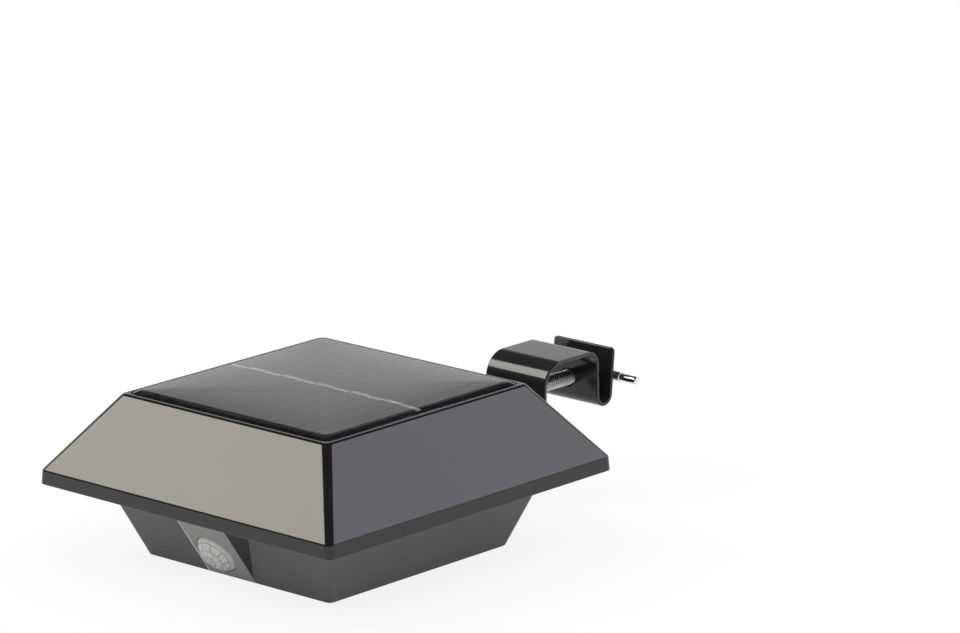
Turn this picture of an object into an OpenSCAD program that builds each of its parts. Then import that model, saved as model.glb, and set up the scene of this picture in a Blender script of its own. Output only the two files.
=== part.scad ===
// Solar fence light with a motion sensor, held by a screw clamp on a bent strip bracket.
// The origin is the middle of the base's underside. Z points up, Y points back to the clamp,
// and the motion sensor looks out of the -Y side. All sizes are in millimetres.

/* [Hood] */
// Width of the hood at the lower edge of its eave
eave_w = 146.6; // [139:0.2:152]
// Height of the upright band round the eave
eave_band_h = 5.2; // [4.6:0.1:6.5]
// How much narrower the band is at its top than at its lower edge
eave_draft = 0.6; // [0:0.1:1]
// Height of the hood above its lower edge
hood_h = 33; // [32:0.5:38]
// Width of the hood's flat top
top_w = 103.8; // [98:0.2:108]
// Thickness of the hood's walls
hood_wall = 2.2; // [1.8:0.1:2.6]
// Radius of the hood's upright corners
hood_corner_r = 2.8; // [2.5:0.1:5]
// Width of the lip round the panel
panel_lip_w = 2.4; // [1.8:0.1:4.2]
// Radius of the panel's corners
panel_corner_r = 2.2; // [1:0.1:3]
// Depth of the panel's pocket in the hood's top
panel_pocket_h = 2.8; // [2.6:0.1:3.6]

/* [Panel] */
// Cells joined in one row across the panel
cell_count = 11; // [8:1:14]
// Thickness of the panel's backboard
backboard_t = 1.5; // [1:0.1:1.6]
// Bare border between the cells and the panel's edge
cell_border = 2.6; // [1.5:0.1:4]
// Gap between two cells
cell_gap = 0.5; // [0.3:0.1:0.8]
// Thickness of a cell
cell_t = 0.25; // [0.15:0.05:0.35]
// Width of the ribbon that joins the cells
ribbon_w = 2.1; // [1:0.1:2.6]
// Thickness of that ribbon
ribbon_t = 0.15; // [0.1:0.05:0.2]
// How far the resin's edge lies below the lip
panel_sink = 0.3; // [0.1:0.1:0.4]
// How far the resin's crown stands over the lip
panel_rise = 1.6; // [1:0.1:2]
// Width of the border over which the resin rises from its edge to its crown
panel_round_w = 3.2; // [2:0.2:6]

/* [Base] */
// Width of the base's underside
base_bottom_w = 92; // [89:0.2:95]
// How far the eave stands out over the base's wall on each side
eave_overhang = 16.55; // [15:0.05:17.5]
// Height of the base up to the plane of the eave's lower edge
base_depth = 27.5; // [26.5:0.5:30]
// Thickness of the base's side walls
base_wall = 2; // [1.8:0.1:2.2]
// Thickness of the base's floor
floor_t = 2.2; // [1.8:0.1:2.6]
// Radius of the base's upright corners
base_corner_r = 2.2; // [2:0.1:4]
// How far the base's flange lies above the eave's lower edge
flange_recess = 2.2; // [2:0.1:2.8]
// Thickness of that flange
flange_t = 2; // [1.6:0.1:2.4]

/* [Motion sensor] */
// Where the middle of the sensor's housing lies across the front
sensor_x = -2.4; // [-5:0.2:2]
// Width of the housing's slanted face
sensor_face_w = 23.6; // [22.6:0.1:25]
// Angle of the slanted face from upright
sensor_lean = 34.2; // [32:0.2:36]
// How much wider the housing is at its root on each side, at the top
sensor_flare = 9; // [7:0.5:10]
// How far the lens lies to the left of the housing's middle
lens_aside = 1.2; // [0:0.1:1.6]
// Radius of the lens
lens_r = 8.3; // [8:0.1:9]
// Height of the lens's dome above the slanted face
lens_dome_h = 4; // [2:0.1:4.5]
// Distance from the base's lower edge to the lens's middle, along the slanted face
lens_up = 11.9; // [11.8:0.1:13.5]

/* [Bracket] */
// Width of the bracket's strip
strip_w = 30; // [27:0.5:32]
// Thickness of the strip
strip_t = 1.5; // [1.2:0.1:1.8]
// Distance from the eave's back edge to the jaw's fixed face
jaw_standoff = 29.4; // [28:0.2:33]
// Width of the jaw, from its fixed face to the plate that carries the nut
jaw_w = 27.9; // [27:0.1:32]
// Height of the bracket's top over the base's underside
bridge_top_z = 50.2; // [48:0.2:52]
// Height of the lowest point of the fold at the bracket's end
fold_low_z = 27.6; // [26:0.2:27.6]
// Height of the free edge of the bracket's outer plate
outer_top_z = 49.2; // [46:0.2:50]
// Angle by which the outer plate leans away
outer_lean = 6; // [3:0.5:6]

/* [Clamp screw] */
// Outer radius of the clamp screw's thread
screw_r = 2.95; // [2.4:0.05:2.95]
// Height of the clamp screw's axis over the base's underside
screw_z = 37.2; // [37.1:0.1:38]
// Distance from the screw's foot to the jaw's fixed face with the screw fully in
jaw_rest_gap = 5.8; // [5:0.1:7]
// Length of the cross-bar
bar_len = 47.6; // [44:0.2:56]
// Radius of the cross-bar's middle
bar_r = 1.95; // [1.6:0.05:2]
// Radius of the cross-bar's ends
bar_end_r = 1.55; // [1.2:0.05:1.6]
// Length of each of its thinner ends
bar_end_len = 8; // [6:0.5:10]

/* [Hidden] */
$fn = 48;

// Facets on each round corner of a loft
corner_steps = 6;
// How far every cut runs past the surface that it opens
overrun = 1;
// How deep one feature of a moulding is sunk into another that carries it
root = 0.6;
// Gap all round between a piece and the pocket or hole that it is dropped into
fit_gap = 0.15;
// Gap round a shaft that turns or slides in its bore
run_gap = 0.05;

// Heights of the hood
eave_z = base_depth;
band_top_z = eave_z + eave_band_h;
hood_top_z = eave_z + hood_h;
band_top_w = eave_w - eave_draft;
hood_slope = (band_top_w - top_w) / 2 / (hood_h - eave_band_h);
hood_side_wall = hood_wall / cos(atan(hood_slope));
band_in_w = band_top_w - 2 * hood_side_wall;
// Half the hood's outer width at a height above its band
function hood_half(z) = band_top_w / 2 - (z - band_top_z) * hood_slope;

// Heights of the base and its flange
flange_z = eave_z + flange_recess;
flange_top_z = flange_z + flange_t;
flange_gap = 0.3;
flange_w = band_in_w - 2 * flange_gap;
flange_r = 3;
base_eave_w = eave_w - 2 * eave_overhang;
base_slope = (base_eave_w - base_bottom_w) / 2 / base_depth;
wall_lean = atan(base_slope);
base_side_wall = base_wall / cos(wall_lean);
// Half the base's outer width at a height
function base_half(z) = base_bottom_w / 2 + z * base_slope;
function base_inner_half(z) = base_half(z) - base_side_wall;

// Case screws, driven up through the flange into bosses under the hood's slopes
case_screw_r = 1.5;
case_screw_len = 8;
case_head_r = 2.9;
case_head_h = 1.8;
case_head_gap = 0.25;
case_screw_at = base_half(flange_z) + case_head_r + case_head_gap;
case_boss_r = 4;
case_boss_sink = 1;
case_boss_top_z = band_top_z
    + (band_top_w / 2 - case_screw_at - case_boss_r - case_boss_sink) / hood_slope;
case_hole_gap = 0.3;

// Gasket between hood and base, with the rib that presses on it
gasket_h = 1.2;
gasket_w = 2.4;
gasket_inset = 3.3;
gasket_half = flange_w / 2 - gasket_inset;
press_rib_t = 1.6;
press_rib_top_z = band_top_z + (band_top_w / 2 - gasket_half - press_rib_t) / hood_slope;

// Panel, laid in the hood's top from the ledge up
pocket_w = top_w - 2 * panel_lip_w;
pocket_floor_z = hood_top_z - panel_pocket_h;
panel_w = pocket_w - 2 * fit_gap;
panel_ledge_w = 4.7;
panel_hole_w = pocket_w - 2 * panel_ledge_w;
roof_under_z = pocket_floor_z - hood_wall;
panel_seal_h = 0.4;
panel_seal_w = 2.6;
backboard_z = pocket_floor_z + panel_seal_h;
cells_z = backboard_z + backboard_t;
cells_top_z = cells_z + cell_t;
resin_edge_z = hood_top_z - panel_sink;
resin_crown_z = hood_top_z + panel_rise;
resin_steps = 5;
cell_field_w = panel_w - 2 * cell_border;
cell_w = (cell_field_w - (cell_count - 1) * cell_gap) / cell_count;
ribbon_step = 0.7;

// Motion sensor, measured from its lens's middle on the slanted face
sensor_wall = 1.5;
sensor_root = 1;
sensor_back_cut = 3;
sensor_back_y = sensor_back_cut - base_inner_half(floor_t);
lens_z = lens_up * cos(sensor_lean);
lens_x = sensor_x - lens_aside;
lens_skin = 0.9;
lens_rim = 0.6;
lens_rim_h = 0.8;
sensor_board_w = 24.4;
sensor_board_l = 16;
sensor_board_t = 1;
sensor_board_in = 14;
element_r = 4.6;
element_h = 4.2;
element_foot_r = 5;
element_foot_h = 0.5;
slot_depth = 1.2;
slot_rib_t = 2.2;
slot_rib_l = 11;
slot_rib_top_z = 22;
slot_rib_in = sensor_board_w / 2 - slot_depth;
slot_rib_y = -base_inner_half(floor_t) - root;

// Power button in the base's floor, with its switch above it
button_gap = 3.9;
button_inset = 6.6;
switch_board_w = 21;
button_x = lens_x + slot_rib_in + slot_rib_t + button_gap + switch_board_w / 2;
button_y = button_inset - base_inner_half(floor_t);
button_r = 4.3;
button_sink = 0.5;
button_rim = 1.4;
button_rim_h = 0.8;
button_travel = 0.8;
plunger_r = 1.7;
plunger_h = 2.4;
switch_w = 6;
switch_h = 3.4;
switch_bore_h = 2.8;
switch_z = floor_t + button_rim_h + 1.1 * button_travel;
switch_board_z = switch_z + switch_h;
switch_board_l = 10;
switch_board_t = 1;
switch_board_top_z = switch_board_z + switch_board_t;
switch_post_x = 8;
switch_post_r = 2;
switch_screw_r = 0.9;
switch_screw_len = 4;
switch_head_r = 1.8;
switch_head_h = 1.2;

// Light window in the base's underside, with what stands over it
window_side_gap = 11.1;
window_back_gap = 9.1;
window_front_gap = 3.8;
diffuser_rim = 3;
window_w = 2 * (base_inner_half(floor_t) - window_side_gap);
window_back_y = base_inner_half(floor_t) - window_back_gap;
window_front_y = button_y + button_r + button_rim + window_front_gap + diffuser_rim;
window_l = window_back_y - window_front_y;
window_y = (window_back_y + window_front_y) / 2;
window_r = 4;
window_sink = 0.6;
diffuser_rim_h = 1.5;
reflector_t = 1.2;
reflector_h = 9.6;
reflector_rim = 5;
reflector_taper = 6;
reflector_lip = 3;
reflector_rim_w = window_w + 2 * reflector_rim;
reflector_rim_l = window_l + 2 * reflector_rim;
reflector_z = floor_t + diffuser_rim_h;
reflector_top_w = window_w - 2 * reflector_taper;
reflector_top_l = window_l - 2 * reflector_taper;
led_board_z = reflector_z + reflector_h;
led_board_t = 1.6;
led_board_top_z = led_board_z + led_board_t;
led_cols = 6;
led_rows = 4;
led_w = 5;
led_l = 3;
led_h = 0.8;
led_side_gap = 2.5;
led_end_gap = 4.5;
led_pitch_x = (reflector_top_w - 2 * reflector_lip - 2 * led_side_gap - led_w) / (led_cols - 1);
led_pitch_y = (reflector_top_l - 2 * reflector_lip - 2 * led_end_gap - led_l) / (led_rows - 1);
led_post_inset = 3.5;
led_post_x = reflector_rim_w / 2 - led_post_inset;
led_post_y = reflector_rim_l / 2 - led_post_inset;
led_post_r = 3;
led_post_gap = 0.4;
small_screw_r = 1.1;
small_screw_len = 6;
small_head_r = 2.2;
small_head_h = 1.5;

// Inner tray on the base's flange, with its cradle and bosses
tray_seat = 1.8;
tray_w = 2 * (base_inner_half(flange_top_z) + tray_seat);
tray_t = 2;
tray_z = flange_top_z;
tray_top_z = tray_z + tray_t;
tray_corner_gap = 1.2;
tray_post_inset = 8;
tray_post_x = base_inner_half(flange_top_z) - tray_post_inset;
tray_post_r = 3.2;
tray_post_span = 32;
battery_r = 9.2;
battery_len = 65;
battery_nub_r = 3;
battery_nub_h = 1;
cradle_floor = 1.2;
cradle_wall = 2;
cradle_h = 8;
cradle_end_h = 12;
battery_z = tray_top_z + cradle_floor + battery_r + fit_gap;
contact_t = 0.5;
contact_h = 15;
contact_w = 12;
contact_bump_r = 3;
contact_bump_h = 1.5;
contact_in = battery_len / 2 + contact_bump_h;
cradle_in = contact_in + contact_t;
contact_lead_z = tray_top_z + (cradle_end_h + cradle_floor + contact_h) / 2;

// Control board on the tray's bosses
board_w = 80;
board_l = 46;
board_t = 1.6;
lead_hole_w = 8;
lead_hole_l = 6;
lead_hole_gap = 2.4;
lead_hole_edge = 2.05;
board_y = lead_hole_edge + lead_hole_l + lead_hole_gap + board_l / 2 - tray_w / 2;
battery_lead_gap = 7.4;
battery_y = board_y + board_l / 2 + lead_hole_gap + lead_hole_l + battery_lead_gap + cradle_wall
    + battery_r;
tray_post_ys = [board_y, board_y + tray_post_span];
board_boss_h = 4;
board_boss_r = 3;
board_hole_x = 36.5;
board_hole_y = 19.5;
board_z = tray_top_z + board_boss_h;
board_top_z = board_z + board_t;
socket_w = 7;
socket_l = 5;
socket_h = 6;
socket_top_z = board_top_z + socket_h;
// Places on the board, as shares of its width and length from its middle
battery_socket_shares = [-0.36, 0.39];
panel_socket_shares = [-0.22, 0.39];
led_socket_shares = [0.1, 0.39];
sensor_socket_shares = [-0.05, -0.37];
switch_socket_shares = [0.31, -0.37];
capacitor_shares = [-0.31, -0.17];
coil_shares = [-0.13, -0.09];
chip_shares = [[0.08, -0.02], [0.24, 0.05], [-0.3, 0.13]];
function on_board(shares) = [shares.x * board_w, board_y + shares.y * board_l];
battery_socket = on_board(battery_socket_shares);
panel_socket = on_board(panel_socket_shares);
led_socket = on_board(led_socket_shares);
sensor_socket = on_board(sensor_socket_shares);
switch_socket = on_board(switch_socket_shares);
capacitor_r = 4;
capacitor_h = 8;
coil_r = 4.5;
coil_h = 4.5;
chip_w = 6;
chip_l = 5;
chip_h = 1.5;

// Lead holes in the tray, beside the board's edges
lead_hole_out = board_l / 2 + lead_hole_gap + lead_hole_l / 2;
led_lead_hole = [led_socket.x, board_y + lead_hole_out];
sensor_lead_hole = [lens_x, board_y - lead_hole_out];
switch_lead_hole = [switch_socket.x, board_y - lead_hole_out];

// Leads, each with a straight stub square to the face that it leaves or enters
lead_r = 0.6;
lead_pair_gap = 0.5;
lead_spread = lead_r + lead_pair_gap / 2;
lead_sides = 6;
lead_steps = 3;
lead_stub = 1.5;
panel_lead_y = 10;
sensor_lead_up = 4.5;
panel_route = [[-18, 6, 51], [-18, -3, 49.5], [-18, -5.6, 48.4]];
battery_left_route = [[-38.5, 23, 47.5], [-39.5, 15, 46], [-37, 7, 44.5], [-32, 2, 43.5]];
battery_right_route = [
    [39, 24, 47], [40, 16, 42], [36, 12.8, 36.5], [28, 12.4, 35.2], [0, 12.4, 35.2], [-24, 12.2, 35.2],
    [-29, 8, 37.5], [-28, 2, 41.5],
];
led_route = [[8, 4.4, 26], [8, 4.4, 38], [8, 3, 45], [8, -1, 49.5], [8, -5, 49.5]];
sensor_route = [
    [-3.6, -41.4, 24.6], [-3.6, -45, 27.6], [-3.6, -51, 31], [-3.6, -52.4, 36], [-3.8, -50, 42],
    [-4, -45, 47.4], [-4, -41.6, 48.6],
];
switch_route = [
    [24.8, -38.4, 16], [24.8, -45, 24], [24.8, -51, 30], [24.8, -52.4, 36], [24.8, -50, 42],
    [24.8, -45, 47.4], [24.8, -41.6, 48.6],
];

// Bracket, bent from one strip: its centre line runs up the base's back wall, out under the
// eave, up behind the lamp, over the jaw, down again, and folds up outside
plate_low_z = 3.6;
leg_gap = 3.8;
leg_bend_r = 3.8;
post_bend_r = 5;
front_bend_r = 8.6;
back_bend_r = 4.8;
fold_bend_r = 3.7;
jaw_face_y = eave_w / 2 + jaw_standoff;
nut_plate_y = jaw_face_y + jaw_w;
post_y = jaw_face_y - strip_t / 2;
leg_z = eave_z - leg_gap - strip_t / 2;
bridge_z = bridge_top_z - strip_t / 2;
inner_y = nut_plate_y + strip_t / 2;
fold_z = fold_low_z + strip_t / 2 + fold_bend_r;
plate_heading = 90 - wall_lean;
plate_start = [
    base_half(plate_low_z) + strip_t / 2 * cos(wall_lean),
    plate_low_z - strip_t / 2 * sin(wall_lean),
];
plate_len = (leg_z - leg_bend_r * (1 - cos(plate_heading)) - plate_start.y) / sin(plate_heading);
leg_start_y = plate_start.x + plate_len * cos(plate_heading) + leg_bend_r * sin(plate_heading);
outer_heading = 90 - outer_lean;
outer_start_z = fold_z - fold_bend_r * cos(outer_heading);
outer_start_y = inner_y + fold_bend_r + fold_bend_r * sin(outer_heading);
// Each stretch: its straight length, then the radius and the angle of the bend after it
stretches = [
    [plate_len, leg_bend_r, -plate_heading],
    [post_y - post_bend_r - leg_start_y, post_bend_r, 90],
    [bridge_z - front_bend_r - leg_z - post_bend_r, front_bend_r, -90],
    [inner_y - back_bend_r - post_y - front_bend_r, back_bend_r, -90],
    [bridge_z - back_bend_r - fold_z, fold_bend_r, 90 + outer_heading],
    [(outer_top_z - outer_start_z) / sin(outer_heading), 0, 0],
];
bend_steps = 12;
outer_corner_r = 1.6;
screw_hole_gap = 0.5;

// Fixings of the bracket on the base's back wall
bracket_screw_x = 9;
bracket_screw_z = 11.4;
insert_r = 2.8;
insert_len = 6;
insert_boss_r = 4.2;
insert_boss_skin = 1.2;
bracket_screw_r = 1.95;
bracket_screw_len = 7;
bracket_hole_gap = 0.25;
bracket_head_r = 3.6;
bracket_head_h = 2.4;
washer_r = 4.4;
washer_t = 0.8;

// Clamp screw and the pieces on its axis, by their places along Y
nut_across = 10;
nut_h = 5;
nut_y = nut_plate_y + strip_t;
foot_y = jaw_face_y + jaw_rest_gap;
foot_r = 5.5;
foot_h = 3.5;
foot_bevel = 0.8;
foot_skin = 0.7;
tip_head_r = 2.4;
tip_head_h = 1.3;
tip_neck_r = 1.6;
foot_play = 0.08;
foot_end_gap = 0.1;
shank_y = foot_y + foot_h + 3 * foot_end_gap;
bar_gap = 0.3;
bar_y = outer_start_y + (outer_top_z - outer_start_z) * tan(outer_lean)
    + strip_t / 2 / cos(outer_lean) + bar_gap + bar_r;
screw_end = 3;
screw_bevel = 0.6;
bar_bevel = 0.4;

hood_colour = [0.1, 0.1, 0.11];
base_colour = [0.2, 0.2, 0.21];
steel_black = [0.06, 0.06, 0.07];
zinc = [0.76, 0.77, 0.79];
board_green = [0.1, 0.33, 0.2];
lead_red = [0.7, 0.12, 0.1];

// A square sheet with round corners
module rounded_rect(w, l, r) {
    square([w - 2 * r, l], center = true);
    square([w, l - 2 * r], center = true);
    for (x = [-1, 1], y = [-1, 1])
        translate([x * (w / 2 - r), y * (l / 2 - r)])
            circle(r = r);
}

// A slab with round corners, from a height up
module slab(w, l, z, h, r) {
    translate([0, 0, z])
        linear_extrude(h)
            rounded_rect(w, l, r);
}

// Outline of a square with round corners at a height, as [width, corner radius, height]
function square_ring(level) = [
    for (corner = [0:3], k = [0:corner_steps])
        let (
            at = level[0] / 2 - level[1],
            x = corner == 1 || corner == 2 ? -at : at,
            y = corner < 2 ? at : -at,
            angle = 90 * (corner + k / corner_steps)
        ) [x + level[1] * cos(angle), y + level[1] * sin(angle), level[2]]
];

// A solid through square outlines, one above the other
module loft(levels) {
    m = 4 * (corner_steps + 1);
    last = len(levels) - 1;
    polyhedron(
        points = [for (level = levels) each square_ring(level)],
        faces = concat(
            [[for (k = [0:m - 1]) k]],
            [[for (k = [m - 1:-1:0]) last * m + k]],
            [for (i = [0:last - 1], k = [0:m - 1]) each [
                [i * m + k, (i + 1) * m + k, (i + 1) * m + (k + 1) % m],
                [i * m + k, (i + 1) * m + (k + 1) % m, i * m + (k + 1) % m],
            ]]
        )
    );
}

// Upright cylinder between two heights
module post(x, y, z0, z1, r) {
    translate([x, y, z0])
        cylinder(r = r, h = z1 - z0);
}

// The same thing at four corners
module at_corners(x, y) {
    for (i = [-1, 1], j = [-1, 1])
        translate([i * x, j * y])
            children();
}

// A closed block between a lower and an upper ring of four points each
module ring_block(low, high) {
    polyhedron(
        points = concat(low, high),
        faces = [[0, 1, 2, 3], [7, 6, 5, 4], [0, 4, 5, 1], [1, 5, 6, 2], [2, 6, 7, 3], [3, 7, 4, 0]]
    );
}

// Screw with a domed head, pointing down, with the underside of its head at the origin
module headed_screw(r, len, head_r, head_h) {
    translate([0, 0, -len])
        cylinder(r = r, h = len + root);
    intersection() {
        cylinder(r = head_r, h = head_h);
        translate([0, 0, head_h - dome_radius(head_r, head_h)])
            sphere(r = dome_radius(head_r, head_h));
    }
}
// Radius of the ball whose cap has a given height over a rim of a given radius
function dome_radius(rim_r, h) = (rim_r * rim_r + h * h) / 2 / h;

// Hood

module hood_outside() {
    loft([
        [eave_w, hood_corner_r, eave_z],
        [band_top_w, hood_corner_r, band_top_z],
        [top_w, hood_corner_r, hood_top_z],
    ]);
}

module hood_inside() {
    inner_r = hood_corner_r - hood_wall / 2;
    roof_in = 2 * hood_half(roof_under_z) - 2 * hood_side_wall;
    loft([
        [band_in_w, inner_r, eave_z - overrun],
        [band_in_w, inner_r, band_top_z],
        [roof_in, inner_r, roof_under_z],
    ]);
}

module press_rib() {
    translate([0, 0, flange_top_z + gasket_h])
        linear_extrude(press_rib_top_z - flange_top_z - gasket_h)
            difference() {
                rounded_rect(2 * gasket_half + press_rib_t, 2 * gasket_half + press_rib_t, flange_r);
                rounded_rect(2 * gasket_half - press_rib_t, 2 * gasket_half - press_rib_t, flange_r);
            }
}

module hood() {
    color(hood_colour)
        difference() {
            union() {
                difference() {
                    hood_outside();
                    hood_inside();
                }
                press_rib();
                at_corners(case_screw_at, case_screw_at)
                    post(0, 0, flange_top_z, case_boss_top_z, case_boss_r);
            }
            slab(pocket_w, pocket_w, pocket_floor_z, panel_pocket_h + overrun, panel_corner_r);
            slab(panel_hole_w, panel_hole_w, roof_under_z - overrun, hood_wall + 2 * overrun,
                panel_corner_r);
            at_corners(case_screw_at, case_screw_at)
                post(0, 0, flange_top_z - overrun, flange_z + case_screw_len + root,
                    case_screw_r + run_gap);
        }
}

// Panel

module panel_seal() {
    color([0.12, 0.12, 0.12])
        difference() {
            slab(panel_w, panel_w, pocket_floor_z, panel_seal_h, panel_corner_r);
            slab(panel_w - 2 * panel_seal_w, panel_w - 2 * panel_seal_w, pocket_floor_z - overrun,
                panel_seal_h + 2 * overrun, panel_corner_r);
        }
}

module panel_backboard() {
    color([0.05, 0.07, 0.12])
        slab(panel_w, panel_w, backboard_z, backboard_t, panel_corner_r);
}

function cell_x(i) = -cell_field_w / 2 + cell_w / 2 + i * (cell_w + cell_gap);

module solar_cells() {
    color([0.13, 0.15, 0.22])
        for (i = [0:cell_count - 1])
            translate([cell_x(i) - cell_w / 2, -cell_field_w / 2, cells_z])
                cube([cell_w, cell_field_w, cell_t]);
}

// Each ribbon crosses its cell and steps sideways a little from the one before
module cell_ribbons() {
    color([0.8, 0.8, 0.8])
        for (i = [0:cell_count - 1])
            translate([
                cell_x(i) - cell_w / 2,
                (i % 2) * ribbon_step - ribbon_w / 2 - ribbon_step / 2,
                cells_top_z,
            ])
                cube([cell_w, ribbon_w, ribbon_t]);
}

// Outline of the resin's face at a step of its rise, steep at its edge and flat at its crown
function resin_level(step) = let (share = step / resin_steps) [
    panel_w - 2 * panel_round_w * share,
    panel_corner_r,
    resin_edge_z + (resin_crown_z - resin_edge_z) * (1 - (1 - share) * (1 - share)),
];

module panel_resin() {
    color([0.5, 0.55, 0.6, 0.4])
        difference() {
            loft(concat([[panel_w, panel_corner_r, cells_z]], [for (i = [0:resin_steps]) resin_level(i)]));
            solar_cells();
            cell_ribbons();
        }
}

// Base

function sensor_ring(front_half, back_half, front_y, back_y, z) = [
    [sensor_x - front_half, front_y, z],
    [sensor_x + front_half, front_y, z],
    [sensor_x + back_half, back_y, z],
    [sensor_x - back_half, back_y, z],
];
// Front of the sensor's housing at a height
function sensor_front_y(z) = -base_bottom_w / 2 - z * tan(sensor_lean);

module sensor_housing() {
    half = sensor_face_w / 2;
    ring_block(
        sensor_ring(half, half, sensor_front_y(0), sensor_front_y(0) + sensor_root, 0),
        sensor_ring(half, half + sensor_flare, sensor_front_y(flange_z),
            sensor_root - base_half(flange_z), flange_z)
    );
}

module sensor_housing_inside() {
    half = sensor_face_w / 2 - sensor_wall;
    low_z = floor_t - root;
    in = sensor_wall / cos(sensor_lean);
    ring_block(
        sensor_ring(half, half, sensor_front_y(low_z) + in, sensor_back_y, low_z),
        sensor_ring(half, half + sensor_flare - sensor_wall, sensor_front_y(flange_z) + in,
            -base_inner_half(flange_z) + base_wall, flange_z)
    );
}

// Places things at the lens's middle on the slanted face, with Z along the lens's axis
module on_sensor() {
    translate([lens_x, sensor_front_y(lens_z), lens_z])
        rotate([90 + sensor_lean, 0, 0])
            children();
}

// Places things on the base's back wall at the bracket's screws, with Z out of the wall
module on_back_wall() {
    translate([0, base_half(bracket_screw_z), bracket_screw_z])
        rotate([-90 - wall_lean, 0, 0])
            for (x = [-1, 1])
                translate([x * bracket_screw_x, 0, 0])
                    children();
}

// The base's form between two heights, drawn in by a width on each side
module base_form(inset, z0, z1) {
    loft([
        [2 * (base_half(z0) - inset), base_corner_r - inset / 2, z0],
        [2 * (base_half(z1) - inset), base_corner_r - inset / 2, z1],
    ]);
}

module at_tray_posts() {
    for (x = [-1, 1], y = tray_post_ys)
        translate([x * tray_post_x, y])
            children();
}

module base_shell() {
    difference() {
        union() {
            base_form(0, 0, flange_z + root);
            slab(flange_w, flange_w, flange_z, flange_t, flange_r);
            sensor_housing();
        }
        base_form(base_side_wall, floor_t, flange_top_z + overrun);
        sensor_housing_inside();
    }
}

// Ribs with slots that hold the sensor's board by its edges
module slot_ribs() {
    for (side = [-1, 1])
        translate([
            lens_x + side * (slot_rib_in + slot_rib_t / 2) - slot_rib_t / 2,
            slot_rib_y,
            floor_t - root,
        ])
            cube([slot_rib_t, slot_rib_l, slot_rib_top_z - floor_t + root]);
}

module base() {
    color(base_colour)
        difference() {
            union() {
                base_shell();
                slot_ribs();
                translate([0, window_y])
                    at_corners(led_post_x, led_post_y)
                        post(0, 0, floor_t - root, led_board_z, led_post_r);
                intersection() {
                    base_form(base_side_wall / 2, floor_t - root, flange_top_z);
                    at_tray_posts()
                        post(0, 0, floor_t - root, flange_top_z, tray_post_r);
                }
                for (side = [-1, 1])
                    post(button_x + side * switch_post_x, button_y, floor_t - root, switch_board_z,
                        switch_post_r);
                on_back_wall()
                    translate([0, 0, -base_wall - insert_len - insert_boss_skin])
                        cylinder(r = insert_boss_r, h = insert_len + insert_boss_skin + root);
            }
            translate([0, window_y])
                slab(window_w, window_l, -overrun, floor_t + 2 * overrun, window_r);
            post(button_x, button_y, -overrun, floor_t + overrun, button_r + run_gap);
            on_sensor() {
                translate([0, 0, -sensor_wall - overrun])
                    cylinder(r = lens_r + fit_gap, h = sensor_wall + 2 * overrun);
                translate([-sensor_board_w / 2 - fit_gap, -sensor_board_l / 2 - fit_gap,
                    -sensor_board_in - fit_gap])
                    cube([sensor_board_w + 2 * fit_gap, sensor_board_l + 2 * fit_gap,
                        sensor_board_t + 2 * fit_gap]);
            }
            translate([0, window_y])
                at_corners(led_post_x, led_post_y)
                    post(0, 0, led_board_z - small_screw_len, led_board_z + overrun, small_screw_r + run_gap);
            at_tray_posts()
                post(0, 0, flange_top_z - small_screw_len, flange_top_z + overrun, small_screw_r + run_gap);
            for (side = [-1, 1])
                post(button_x + side * switch_post_x, button_y, switch_board_z - switch_screw_len,
                    switch_board_z + overrun, switch_screw_r + run_gap);
            at_corners(case_screw_at, case_screw_at)
                post(0, 0, flange_z - overrun, flange_top_z + overrun, case_screw_r + case_hole_gap);
            on_back_wall() {
                translate([0, 0, -insert_len])
                    cylinder(r = insert_r, h = insert_len + overrun);
                translate([0, 0, -bracket_screw_len - root])
                    cylinder(r = bracket_screw_r + run_gap, h = bracket_screw_len);
            }
        }
}

module base_gasket() {
    color([0.15, 0.15, 0.15])
        translate([0, 0, flange_top_z])
            linear_extrude(gasket_h)
                difference() {
                    rounded_rect(2 * gasket_half + gasket_w, 2 * gasket_half + gasket_w, flange_r);
                    rounded_rect(2 * gasket_half - gasket_w, 2 * gasket_half - gasket_w, flange_r);
                }
}

module case_screws() {
    color(zinc)
        at_corners(case_screw_at, case_screw_at)
            translate([0, 0, flange_z])
                mirror([0, 0, 1])
                    headed_screw(case_screw_r, case_screw_len, case_head_r, case_head_h);
}

// Light window and LED board

module led_post_notches(z, h) {
    at_corners(led_post_x, led_post_y)
        post(0, 0, z - overrun, z + h + overrun, led_post_r + led_post_gap);
}

module diffuser() {
    color([0.93, 0.93, 0.9])
        translate([0, window_y])
            difference() {
                union() {
                    slab(window_w - 2 * fit_gap, window_l - 2 * fit_gap, window_sink,
                        floor_t - window_sink + root, window_r - fit_gap);
                    slab(window_w + 2 * diffuser_rim, window_l + 2 * diffuser_rim, floor_t,
                        diffuser_rim_h, window_r);
                }
                led_post_notches(floor_t, diffuser_rim_h);
            }
}

// Rectangle of the reflector's funnel at a height
function funnel_ring(w, l, z) =
    [[-w / 2, -l / 2, z], [w / 2, -l / 2, z], [w / 2, l / 2, z], [-w / 2, l / 2, z]];

module reflector() {
    rim_top_z = reflector_z + reflector_t;
    seat_z = led_board_z - reflector_t;
    grow = 2 * reflector_t;
    color([0.92, 0.92, 0.92])
        translate([0, window_y])
            difference() {
                union() {
                    slab(reflector_rim_w, reflector_rim_l, reflector_z, reflector_t, window_r);
                    ring_block(
                        funnel_ring(window_w + grow, window_l + grow, rim_top_z),
                        funnel_ring(reflector_top_w + grow, reflector_top_l + grow, led_board_z)
                    );
                }
                ring_block(
                    funnel_ring(window_w, window_l, reflector_z - overrun),
                    funnel_ring(reflector_top_w, reflector_top_l, seat_z)
                );
                slab(reflector_top_w - 2 * reflector_lip, reflector_top_l - 2 * reflector_lip,
                    seat_z - overrun, reflector_t + 2 * overrun, window_r);
                led_post_notches(reflector_z, reflector_h);
            }
}

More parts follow.
